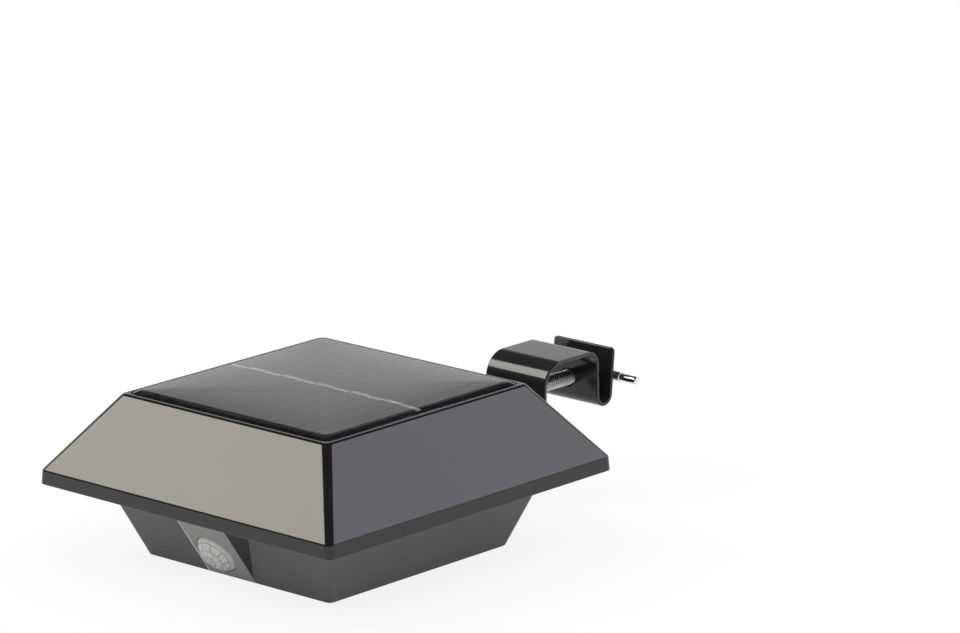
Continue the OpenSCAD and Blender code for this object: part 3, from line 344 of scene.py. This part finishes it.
def coated_black():
    """Gloss black coat on steel, with a soft orange peel and thin wear on a few spots."""
    finish = Finish("gloss_black_steel", ior=1.5)
    peel = finish.noise(520, 3)
    spots = finish.band(finish.noise(700, 5, 0.7), 0.72, 0.78)
    worn = finish.blend(spots * 0.35, (0.015, 0.015, 0.0155), (0.09, 0.09, 0.09))
    finish.feed("Base Color", worn)
    finish.feed("Roughness", peel * 0.06 + spots * 0.2 + 0.10)
    finish.bump(peel, 0.000012)
    return finish.material


def board_finish(name, solder, copper):
    """Circuit board: a lacquer over tracks that run in two directions."""
    finish = Finish(name, coat_weight=0.4, coat_roughness=0.2)
    pitch = 2.2 * MM
    columns = ((finish.x % pitch) / pitch - 0.5).size() < 0.14
    rows = ((finish.y % (2 * pitch)) / (2 * pitch) - 0.5).size() < 0.06
    part = finish.noise(120, 1) > 0.5
    tracks = (columns * part + rows * (1 - part)).clamped()
    finish.feed("Base Color", finish.blend(tracks, solder, copper))
    finish.feed("Roughness", 0.5 - tracks * 0.12)
    finish.bump(tracks, 0.00003, 0.6)
    return finish.material


def wrapped_cell():
    """Printed film round the battery cell, with a darker end band and fine wrinkles."""
    finish = Finish("battery_wrap", coat_weight=0.3)
    band = (finish.x.size() > 0.026) * 0.6
    finish.feed("Base Color", finish.blend(band, (0.05, 0.20, 0.38), (0.02, 0.05, 0.10)))
    finish.feed("Roughness", finish.noise(200, 4) * 0.15 + 0.25)
    finish.bump(finish.noise(160, 3, stretch=(1, 4, 4)), 0.00006, 0.5)
    return finish.material


FINISHES = {
    "gloss_black_plastic": gloss_black(),
    "satin_grey_plastic": satin_grey(),
    "black_sealant": moulded("black_sealant", (0.012, 0.012, 0.012), 0.6, 900, 0.00008),
    "dark_board": moulded("dark_board", (0.004, 0.004, 0.006), 0.5, 1800, 0.00001),
    "solar_cell": cell_finish(),
    "tinned_ribbon": plated("tinned_ribbon", (1.0, 0.99, 0.97), 0.45, (1, 8, 1), metallic=0.05),
    "clear_resin": resin_finish(),
    "opal_plastic": opal_finish("opal_plastic", (0.86, 0.86, 0.83)),
    "white_plastic": moulded("white_plastic", (0.80, 0.80, 0.79), 0.35, 2000),
    "white_board": moulded("white_board", (0.78, 0.78, 0.76), 0.4, 1500, coat_weight=0.3),
    "led_body": moulded("led_body", (0.85, 0.72, 0.25), 0.3, 3000, cloud=0.2),
    "natural_plastic": moulded("natural_plastic", (0.66, 0.65, 0.61), 0.4, 1900, 0.00002),
    "battery_wrap": wrapped_cell(),
    "nickel_contact": plated("nickel_contact", (0.72, 0.70, 0.66), 0.28, (6, 1, 1)),
    "green_board": board_finish("green_board", (0.012, 0.11, 0.045), (0.03, 0.20, 0.08)),
    "black_component": moulded("black_component", (0.018, 0.018, 0.019), 0.5, 3200, 0.00002),
    "socket_plastic": moulded("socket_plastic", (0.74, 0.71, 0.62), 0.42, 2100),
    "lens_plastic": lens_finish(),
    "sensor_can": plated("sensor_can", (0.70, 0.70, 0.69), 0.24, (1, 1, 6)),
    "red_button": moulded("red_button", (0.34, 0.012, 0.010), 0.3, 2400),
    "lead_cover": moulded("lead_cover", (0.42, 0.018, 0.014), 0.42, 1400, 0.00002),
    "gloss_black_steel": coated_black(),
    "brass_insert": plated("brass_insert", (0.72, 0.52, 0.22), 0.3, (1, 6, 1)),
    "zinc_steel": plated("zinc_steel", (0.60, 0.61, 0.63), 0.26, (1, 1, 1), 0.000008),
    "bright_steel": plated("bright_steel", (0.82, 0.82, 0.83), 0.12, (6, 1, 1), 0.000002),
}


# Making pieces


def alone(piece):
    bpy.ops.object.select_all(action="DESELECT")
    piece.select_set(True)
    bpy.context.view_layer.objects.active = piece


def editing(piece, kind="FACE"):
    """Goes into edit mode on one piece with nothing selected."""
    alone(piece)
    bpy.ops.object.mode_set(mode="EDIT")
    bpy.ops.mesh.select_mode(type=kind)
    bpy.ops.mesh.select_all(action="DESELECT")


def done():
    bpy.ops.object.mode_set(mode="OBJECT")


def select_faces(piece, chosen):
    """Selects faces in edit mode, by their middle and normal."""
    done()
    for face in piece.data.polygons:
        face.select = chosen(face.center, face.normal)
    bpy.ops.object.mode_set(mode="EDIT")


def select_edges(piece, chosen):
    """Keeps, in edit mode, the edges whose two ends in millimetres pass the test."""
    done()
    points = piece.data.vertices
    for edge in piece.data.edges:
        edge.select = chosen(*(points[i].co / MM for i in edge.vertices))
    bpy.ops.object.mode_set(mode="EDIT")


def settle(piece, name):
    """Names a new primitive and puts its place into its mesh."""
    piece.name = name
    alone(piece)
    bpy.ops.object.transform_apply(location=True, rotation=True, scale=True)
    return piece


def copy_of_node(node, name):
    """A merged copy of a CAD node's mesh, with its flat faces joined."""
    piece = bpy.data.objects.new(name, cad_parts[node].data.copy())
    bpy.context.scene.collection.objects.link(piece)
    editing(piece)
    bpy.ops.mesh.select_all(action="SELECT")
    bpy.ops.mesh.remove_doubles(threshold=0.000002)
    bpy.ops.mesh.dissolve_limited(angle_limit=math.radians(0.6))
    done()
    return piece


def soften(piece, width, steps, chosen, sharpness=20, clamp=False):
    """Rounds the sharp edges whose two ends both pass the test."""
    editing(piece, "EDGE")
    bpy.ops.mesh.edges_select_sharp(sharpness=math.radians(sharpness))
    done()
    sharp = {tuple(edge.vertices) for edge in piece.data.edges if edge.select}
    points = piece.data.vertices
    for part in (*points, *piece.data.polygons):
        part.select = False
    for edge in piece.data.edges:
        ends = edge.vertices
        edge.select = tuple(ends) in sharp and all(chosen(points[i].co / MM) for i in ends)
    bpy.ops.object.mode_set(mode="EDIT")
    bpy.ops.mesh.bevel(
        offset=width * MM, segments=steps, affect="EDGES", clamp_overlap=clamp, loop_slide=False,
    )
    done()


def smooth(piece, angle=30):
    """Smooth shading that leaves large flat faces flat right up to their rounded edges."""
    alone(piece)
    bpy.ops.object.shade_smooth_by_angle(angle=math.radians(angle))
    weigh = piece.modifiers.new("normals", "WEIGHTED_NORMAL")
    weigh.keep_sharp = True
    weigh.weight = 100
    bpy.ops.object.modifier_apply(modifier="normals")


def dress(piece, slot, body, *nodes):
    """Gives a finished piece its material and ties it to the CAD."""
    piece.data.materials.clear()
    piece.data.materials.append(FINISHES[slot])
    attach(piece, body)
    if nodes:
        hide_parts(*nodes)


def join(pieces, name):
    alone(pieces[0])
    for piece in pieces:
        piece.select_set(True)
    bpy.ops.object.join()
    pieces[0].name = name
    return pieces[0]


def near(value, target, slack=0.05):
    return abs(value - target) < slack


def span(node):
    low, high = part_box(node)
    return low / MM, high / MM


HOOD_LOW, HOOD_HIGH = span("hood")
BASE_LOW, BASE_HIGH = span("base")


# Hood: edges of the top, the panel's pocket, the band and the eave are rounded


BAND_H = 5.2


def make_hood():
    piece = copy_of_node("hood", "hood_shell")
    top, low = HOOD_HIGH.z, HOOD_LOW.z
    half_pocket = span("panel_resin")[1].x + 0.15

    def on_top_edge(p):
        return near(p.z, top) and max(abs(p.x), abs(p.y)) > half_pocket + 1.0

    def on_pocket_edge(p):
        return near(p.z, top) and max(abs(p.x), abs(p.y)) < half_pocket + 0.3

    def on_band_edge(p):
        return near(p.z, low + BAND_H, 0.3) and max(abs(p.x), abs(p.y)) > HOOD_HIGH.x - 1.2

    def on_eave_edge(p):
        return near(p.z, low) and max(abs(p.x), abs(p.y)) > HOOD_HIGH.x - 1.2

    soften(piece, 0.9, 6, on_top_edge)
    soften(piece, 0.8, 5, on_pocket_edge)
    soften(piece, 0.5, 3, on_band_edge)
    soften(piece, 0.4, 3, on_eave_edge)
    smooth(piece)
    dress(piece, "gloss_black_plastic", "lamp", "hood")


# Panel: the cast resin rises steeply from its edge and is almost flat across its middle


PANEL_SINK = 0.3
PANEL_CORNER_R = 2.2
PANEL_BORDER = 3.4
BORDER_STEPS = 10
# Height at the border's inner end, then insets in millimetres with their heights, as shares
BORDER_RISE = 0.76
CROWN = [(8, 0.84), (14, 0.91), (22, 0.96), (32, 0.99), (42, 1)]


def panel_cover():
    low, high = span("panel_resin")
    half = high.x
    edge = HOOD_HIGH.z - PANEL_SINK
    thick = edge - low.z
    bpy.ops.mesh.primitive_cube_add(size=1, location=(0, 0, (low.z + thick / 2) * MM))
    piece = bpy.context.object
    piece.scale = (2 * half * MM, 2 * half * MM, thick * MM)
    settle(piece, "panel_cover")
    editing(piece, "EDGE")
    select_edges(piece, lambda a, b: abs(a.z - b.z) > 0.5 * thick)
    bpy.ops.mesh.bevel(offset=PANEL_CORNER_R * MM, segments=6, affect="EDGES")
    done()
    rise = high.z - edge
    shape = []
    for i in range(1, BORDER_STEPS + 1):
        left = 1 - i / BORDER_STEPS
        shape.append((PANEL_BORDER * i / BORDER_STEPS, BORDER_RISE * rise * (1 - left ** 2)))
    shape += [(inset, share * rise) for inset, share in CROWN]
    editing(piece)
    select_faces(piece, lambda c, n: n.z > 0.9 and c.z > (edge - 0.01) * MM)
    inset, height = 0, 0
    for new_inset, new_height in shape:
        step = (0, 0, (new_height - height) * MM)
        bpy.ops.mesh.extrude_region_move(TRANSFORM_OT_translate={"value": step})
        grow = (half - new_inset) / (half - inset)
        bpy.ops.transform.resize(value=(grow, grow, 1), center_override=(0, 0, 0))
        inset, height = new_inset, new_height
    done()
    smooth(piece, 40)
    dress(piece, "clear_resin", "lamp", "panel_resin")


# Base: its lower rim and the sensor's housing are rounded


def make_base():
    piece = copy_of_node("base", "base_shell")
    low = BASE_LOW.z

    def on_lower_rim(p):
        return near(p.z, low) and max(abs(p.x), abs(p.y)) > BASE_HALF - 4

    def on_housing(p):
        return p.y < -BASE_HALF - 0.05 and abs(p.x + 3) < 24 and p.z < BASE_DEPTH - 0.5

    soften(piece, 0.45, 3, on_housing, 15, clamp=True)
    soften(piece, 0.5, 3, on_lower_rim)
    smooth(piece)
    dress(piece, "satin_grey_plastic", "lamp", "base")


# Motion sensor's lens: a dome of small facets over the skirt that holds it


SKIRT_H = 2.1
RIM_R = 8.9
RIM_H = 0.75


def lens_frame():
    """Where the lens's axis leaves the slanted face, with Z along that axis."""
    z = LENS_UP * math.cos(LEAN)
    y = -BASE_HALF - z * math.tan(LEAN)
    turn = Matrix.Rotation(math.radians(90) + LEAN, 4, "X")
    return Matrix.Translation((LENS_X * MM, y * MM, z * MM)) @ turn


def make_lens():
    ball = (LENS_R ** 2 + LENS_RISE ** 2) / 2 / LENS_RISE
    bpy.ops.mesh.primitive_uv_sphere_add(segments=16, ring_count=11, radius=ball * MM)
    dome = bpy.context.object
    settle(dome, "dome")
    editing(dome)
    bpy.ops.mesh.select_all(action="SELECT")
    foot = (0, 0, (ball - LENS_RISE) * MM)
    bpy.ops.mesh.bisect(plane_co=foot, plane_no=(0, 0, 1), clear_inner=True, use_fill=True)
    select_faces(dome, lambda c, n: n.z > 0.3)
    bpy.ops.transform.resize(value=(0.988, 0.988, 0.988), center_override=(0, 0, 0))
    bpy.ops.mesh.inset(thickness=0.14 * MM, depth=0, use_individual=True)
    bpy.ops.mesh.inset(thickness=0.12 * MM, depth=0.12 * MM, use_individual=True)
    done()
    dome.data.transform(Matrix.Translation((0, 0, -(ball - LENS_RISE) * MM)))
    bpy.ops.mesh.primitive_cylinder_add(
        vertices=64, radius=LENS_R * MM, depth=SKIRT_H * MM, location=(0, 0, -1.15 * MM),
    )
    skirt = settle(bpy.context.object, "skirt")
    editing(skirt)
    select_faces(skirt, lambda c, n: n.z > 0.9)
    bpy.ops.mesh.inset(thickness=0.5 * MM, depth=0)
    bpy.ops.mesh.inset(thickness=0.2 * MM, depth=-0.25 * MM)
    done()
    bpy.ops.mesh.primitive_cylinder_add(
        vertices=64, radius=RIM_R * MM, depth=RIM_H * MM, location=(0, 0, -1.9 * MM),
    )
    rim = settle(bpy.context.object, "rim")
    soften(rim, 0.15, 2, lambda p: True)
    soften(skirt, 0.18, 2, lambda p: math.hypot(p.x, p.y) > LENS_R - 0.05 and p.z > -0.5)
    lens = join([dome, skirt, rim], "lens_cover")
    lens.data.transform(lens_frame())
    smooth(lens, 12)
    dress(lens, "lens_plastic", "lamp", "sensor_lens")


# Bracket, nut and bars keep the CAD's shape, with their edges broken


def broken_edges(node, name, slot, body, width, steps, sharpness):
    piece = copy_of_node(node, name)
    soften(piece, width, steps, lambda p: True, sharpness)
    smooth(piece)
    dress(piece, slot, body, node)


# Clamp screw with its thread; the profiles are distances from an end with their radii


SCREW_TIP = [
    (0, 2.1), (0.3, 2.4), (1.0, 2.4), (1.3, 1.9), (1.35, 1.6),
    (2.95, 1.6), (2.95, 2.2), (3.4, 2.44), (4.2, 2.44), (4.2, 1.5),
]
SCREW_END = [(-1.4, 1.5), (-1.4, 2.44), (-0.5, 2.44), (0, 2.05)]


def turned(profile, name, axis_z, sides=40):
    """A turned piece along Y: the profile is a list of (y, radius), closed at both ends."""
    start_y, start_r = profile[0]
    bpy.ops.mesh.primitive_circle_add(
        vertices=sides, radius=start_r * MM, fill_type="NGON",
        location=(0, start_y * MM, axis_z * MM), rotation=(math.radians(90), 0, 0),
    )
    piece = settle(bpy.context.object, name)
    editing(piece)
    bpy.ops.mesh.select_all(action="SELECT")
    middle = [0, start_y * MM, axis_z * MM]
    r = start_r
    for y, new_r in profile[1:]:
        step = (0, y * MM - middle[1], 0)
        bpy.ops.mesh.extrude_region_move(TRANSFORM_OT_translate={"value": step})
        middle[1] = y * MM
        if not near(new_r, r, 0.0001):
            bpy.ops.transform.resize(value=(new_r / r, 1, new_r / r), center_override=tuple(middle))
            r = new_r
    bpy.ops.mesh.select_all(action="SELECT")
    bpy.ops.mesh.normals_make_consistent(inside=False)
    done()
    return piece


def thread(start, end, axis_z, pitch=1.0, core=2.42, crest=2.92):
    """A helical thread along Y between two places, cut flat at both."""
    turns = int((end - start) / pitch) + 4
    bpy.ops.mesh.primitive_plane_add(size=1)
    profile = bpy.context.object
    editing(profile, "VERT")
    bpy.ops.mesh.select_all(action="SELECT")
    bpy.ops.mesh.delete(type="VERT")
    done()
    marks = [(0.0, core), (0.12, core), (0.43, crest), (0.57, crest), (0.88, core), (1.0, core)]
    profile.data.vertices.add(len(marks))
    profile.data.edges.add(len(marks) - 1)
    for i, (along, r) in enumerate(marks):
        profile.data.vertices[i].co = (r * MM, 0, along * pitch * MM)
    for i in range(len(marks) - 1):
        profile.data.edges[i].vertices = (i, i + 1)
    profile.data.update()
    alone(profile)
    screw = profile.modifiers.new("thread", "SCREW")
    screw.steps = 28
    screw.render_steps = 28
    screw.screw_offset = pitch * MM
    screw.iterations = turns
    screw.axis = "Z"
    bpy.ops.object.modifier_apply(modifier="thread")
    place = Matrix.Translation((0, (start - 1.5 * pitch) * MM, axis_z * MM))
    profile.data.transform(place @ Matrix.Rotation(math.radians(-90), 4, "X"))
    editing(profile)
    bpy.ops.mesh.select_all(action="SELECT")
    bpy.ops.mesh.remove_doubles(threshold=0.000001)
    for y, outward in ((start, -1), (end, 1)):
        bpy.ops.mesh.select_all(action="SELECT")
        bpy.ops.mesh.bisect(plane_co=(0, y * MM, 0), plane_no=(0, outward, 0), clear_outer=True)
    bpy.ops.mesh.select_all(action="SELECT")
    bpy.ops.mesh.remove_doubles(threshold=0.000001)
    bpy.ops.mesh.select_all(action="SELECT")
    bpy.ops.mesh.fill_holes(sides=0)
    bpy.ops.mesh.select_all(action="SELECT")
    bpy.ops.mesh.normals_make_consistent(inside=False)
    done()
    return profile


def make_clamp_screw():
    low, high = span("clamp_screw")
    axis = (low.z + high.z) / 2
    tip = turned([(low.y + along, r) for along, r in SCREW_TIP], "screw_tip", axis)
    shank = thread(low.y + 3.3, high.y - 0.7, axis)
    end = turned([(high.y + along, r) for along, r in SCREW_END], "screw_end", axis)
    piece = join([shank, tip, end], "clamp_thread")
    smooth(piece, 24)
    dress(piece, "zinc_steel", "screw", "clamp_screw")


# Driver recesses in the heads of screws that show from outside


ARM_W = 0.62


def crossed(piece, middle, out, reach, depth, turn):
    """Cuts a tapered cross into a head at a place, down along the inward direction."""
    aim = out.to_track_quat("Z", "Y").to_matrix().to_4x4()
    arms = []
    for quarter in (0, 90):
        bpy.ops.mesh.primitive_cube_add(size=1)
        arm = bpy.context.object
        arm.scale = (2 * reach * MM, ARM_W * MM, 2 * depth * MM)
        arm.rotation_euler = (0, 0, math.radians(quarter + turn))
        settle(arm, "arm")
        editing(arm)
        select_faces(arm, lambda c, n: n.z < -0.9)
        bpy.ops.transform.resize(value=(0.45, 0.45, 1), center_override=(0, 0, -depth * MM))
        done()
        arms.append(arm)
    for arm in arms:
        arm.data.transform(Matrix.Translation(middle * MM) @ aim)
        alone(piece)
        cut = piece.modifiers.new("recess", "BOOLEAN")
        cut.operation = "DIFFERENCE"
        cut.solver = "EXACT"
        cut.object = arm
        bpy.ops.object.modifier_apply(modifier="recess")
        bpy.data.objects.remove(arm)


def make_case_screws():
    piece = copy_of_node("case_screws", "case_screw_set")
    low, high = span("case_screws")
    head_r = 2.9
    at = high.x - head_r
    for i, (sx, sy) in enumerate(((1, 1), (1, -1), (-1, 1), (-1, -1))):
        crossed(piece, Vector((sx * at, sy * at, low.z)), Vector((0, 0, -1)), 1.55, 1.1, 17 * i)
    smooth(piece, 30)
    dress(piece, "zinc_steel", "lamp", "case_screws")


def make_bracket_screws():
    piece = copy_of_node("bracket_screws", "bracket_screw_set")
    up, aside, strip_t, washer_t, head_h = 11.4, 9, 1.5, 0.8, 2.4
    out = Vector((0, math.cos(WALL_LEAN), -math.sin(WALL_LEAN)))
    wall = Vector((0, BASE_HALF + up * math.tan(WALL_LEAN), up))
    for i, side in enumerate((-1, 1)):
        head = wall + out * (strip_t + washer_t + head_h) + Vector((side * aside, 0, 0))
        crossed(piece, head, out, 2.0, 1.5, 11 + 23 * i)
    smooth(piece, 30)
    dress(piece, "zinc_steel", "lamp", "bracket_screws")


# Light window and power button, with their lower edges rounded


def make_window():
    piece = copy_of_node("diffuser", "light_window")
    low = span("diffuser")[0]
    soften(piece, 0.35, 3, lambda p: near(p.z, low.z), 40)
    smooth(piece, 30)
    dress(piece, "opal_plastic", "lamp", "diffuser")


def make_button():
    piece = copy_of_node("power_button", "button_cap")
    low = span("power_button")[0]
    soften(piece, 0.35, 3, lambda p: near(p.z, low.z), 40)
    editing(piece)
    select_faces(piece, lambda c, n: n.z < -0.9 and c.z < (low.z + 0.05) * MM)
    bpy.ops.mesh.inset(thickness=0.7 * MM, depth=0)
    bpy.ops.mesh.inset(thickness=0.35 * MM, depth=-0.2 * MM)
    done()
    smooth(piece, 30)
    dress(piece, "red_button", "button", "power_button")


make_hood()
panel_cover()
make_base()
make_lens()
broken_edges("bracket", "bracket_strip", "gloss_black_steel", "lamp", 0.6, 4, 40)
broken_edges("clamp_nut", "weld_nut", "gloss_black_steel", "lamp", 0.35, 2, 40)
broken_edges("clamp_foot", "swivel_foot", "zinc_steel", "foot", 0.2, 2, 40)
broken_edges("clamp_bar", "cross_bar", "bright_steel", "screw", 0.22, 3, 40)
broken_edges("bracket_washers", "bracket_washer_set", "zinc_steel", "lamp", 0.12, 2, 60)
make_clamp_screw()
make_case_screws()
make_bracket_screws()
make_window()
make_button()


# Finishes of the pieces that keep the CAD's mesh


NODE_FINISHES = {
    "panel_seal": "black_sealant",
    "panel_backboard": "dark_board",
    "solar_cells": "solar_cell",
    "cell_ribbons": "tinned_ribbon",
    "base_gasket": "black_sealant",
    "reflector": "white_plastic",
    "led_board": "white_board",
    "leds": "led_body",
    "led_board_screws": "zinc_steel",
    "inner_tray": "natural_plastic",
    "tray_screws": "zinc_steel",
    "battery_cell": "battery_wrap",
    "battery_contacts": "nickel_contact",
    "control_board": "green_board",
    "board_parts": "black_component",
    "lead_sockets": "socket_plastic",
    "control_board_screws": "zinc_steel",
    "sensor_element": "sensor_can",
    "sensor_board": "green_board",
    "switch_plunger": "black_component",
    "switch_body": "black_component",
    "switch_board": "green_board",
    "switch_board_screws": "zinc_steel",
    "panel_leads": "lead_cover",
    "battery_leads": "lead_cover",
    "led_leads": "lead_cover",
    "sensor_leads": "lead_cover",
    "switch_leads": "lead_cover",
    "bracket_inserts": "brass_insert",
}


def finish_nodes():
    for name, slot in NODE_FINISHES.items():
        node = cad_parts[name]
        node.data.materials.clear()
        node.data.materials.append(FINISHES[slot])


finish_nodes()


# Floor, light and background


FLOOR_SIZE = 12
# The floor lies this many millimetres under the base, so that the two don't share a plane
FLOOR_DROP = 0.1
# Share of the floor that glows white to the rays of seen_rays; the rest takes the shadow
FLOOR_GLOW = 0.85
GLOSS_SHARE = 0.3


def seen_rays(finish):
    """1 for rays from the camera or through something clear, and less for those from a gloss."""
    path = finish.node("ShaderNodeLightPath")
    names = ("Is Camera Ray", "Is Glossy Ray", "Is Transmission Ray")
    camera, gloss, through = (Value(finish, path.outputs[n]) for n in names)
    return (camera + gloss * GLOSS_SHARE + through).clamped()


def make_floor():
    bpy.ops.mesh.primitive_plane_add(size=FLOOR_SIZE, location=(0, 0, -FLOOR_DROP * MM))
    floor = bpy.context.object
    floor.name = "floor"
    finish = Finish("pale_floor", roughness=0.9, specular_ior_level=0.0)
    tone = finish.noise(3, 2)
    finish.feed("Base Color", finish.blend(tone, (0.82, 0.82, 0.82), (0.86, 0.86, 0.86)))
    glow = finish.node("ShaderNodeEmission", {}, {"Color": (1, 1, 1, 1), "Strength": 1.0})
    mix = finish.node("ShaderNodeMixShader", {}, {
        0: seen_rays(finish) * FLOOR_GLOW, 1: finish.shader.outputs[0], 2: glow.outputs[0],
    })
    finish.tree.links.new(mix.outputs[0], finish.tree.nodes["Material Output"].inputs["Surface"])
    floor.data.materials.append(finish.material)


def make_world():
    """White all round, but glossy rays see a ceiling and a front that are dark.

    The dark room is there to match the photograph's reflections, and isn't a real room.
    """
    world = bpy.data.worlds.new("studio")
    bpy.context.scene.world = world
    world.use_nodes = True
    tree = world.node_tree
    tree.nodes.clear()

    def add(kind, inputs, **settings):
        node = tree.nodes.new(kind)
        for key, value in settings.items():
            setattr(node, key, value)
        for key, value in inputs.items():
            if isinstance(value, bpy.types.NodeSocket):
                tree.links.new(value, node.inputs[key])
            else:
                node.inputs[key].default_value = value
        return node

    way = add("ShaderNodeTexCoord", {}).outputs["Generated"]
    apart = add("ShaderNodeSeparateXYZ", {0: way})
    height = apart.outputs[2]
    share = add("ShaderNodeMapRange", {
        "Value": height, "From Min": 0.15, "From Max": 0.55, "To Min": 0.0, "To Max": 1.0,
    }, interpolation_type="SMOOTHSTEP").outputs[0]
    room = add("ShaderNodeMix", {
        0: share, 6: (1.0, 0.99, 1.0, 1), 7: (0.06, 0.06, 0.063, 1),
    }, data_type="RGBA").outputs[2]
    ahead = add("ShaderNodeMapRange", {
        "Value": apart.outputs[1], "From Min": -0.75, "From Max": -0.3,
        "To Min": 0.1, "To Max": 1.0,
    }, interpolation_type="SMOOTHSTEP").outputs[0]
    room = add("ShaderNodeMix", {0: ahead, 6: (0, 0, 0, 1), 7: room}, data_type="RGBA").outputs[2]
    gloss = add("ShaderNodeLightPath", {}).outputs["Is Glossy Ray"]
    colour = add("ShaderNodeMix", {0: gloss, 6: (1, 1, 1, 1), 7: room}, data_type="RGBA").outputs[2]
    back = add("ShaderNodeBackground", {"Color": colour, "Strength": 1.0})
    output = tree.nodes.new("ShaderNodeOutputWorld")
    tree.links.new(back.outputs[0], output.inputs[0])


def softbox(name, way, distance, size, radiance, colour):
    """A square softbox in a direction from the lamp, of a given brightness."""
    light = bpy.data.lights.new(name, "AREA")
    light.shape = "SQUARE"
    light.size = size
    light.energy = radiance * math.pi * size * size
    light.color = colour
    box = bpy.data.objects.new(name, light)
    bpy.context.scene.collection.objects.link(box)
    way = Vector(way).normalized()
    place = Matrix.Translation(Vector((0, 0, 0.04)) + way * distance)
    box.matrix_world = place @ way.to_track_quat("Z", "Y").to_matrix().to_4x4()
    box.visible_camera = False


make_floor()
make_world()
softbox("key", (-0.659, -0.434, 0.6135), 1.5, 0.6, 7.0, (1.0, 0.95, 0.845))
softbox("side", (0.422, 0.7085, 0.566), 1.5, 0.7, 2.6, (0.885, 0.885, 1.0))
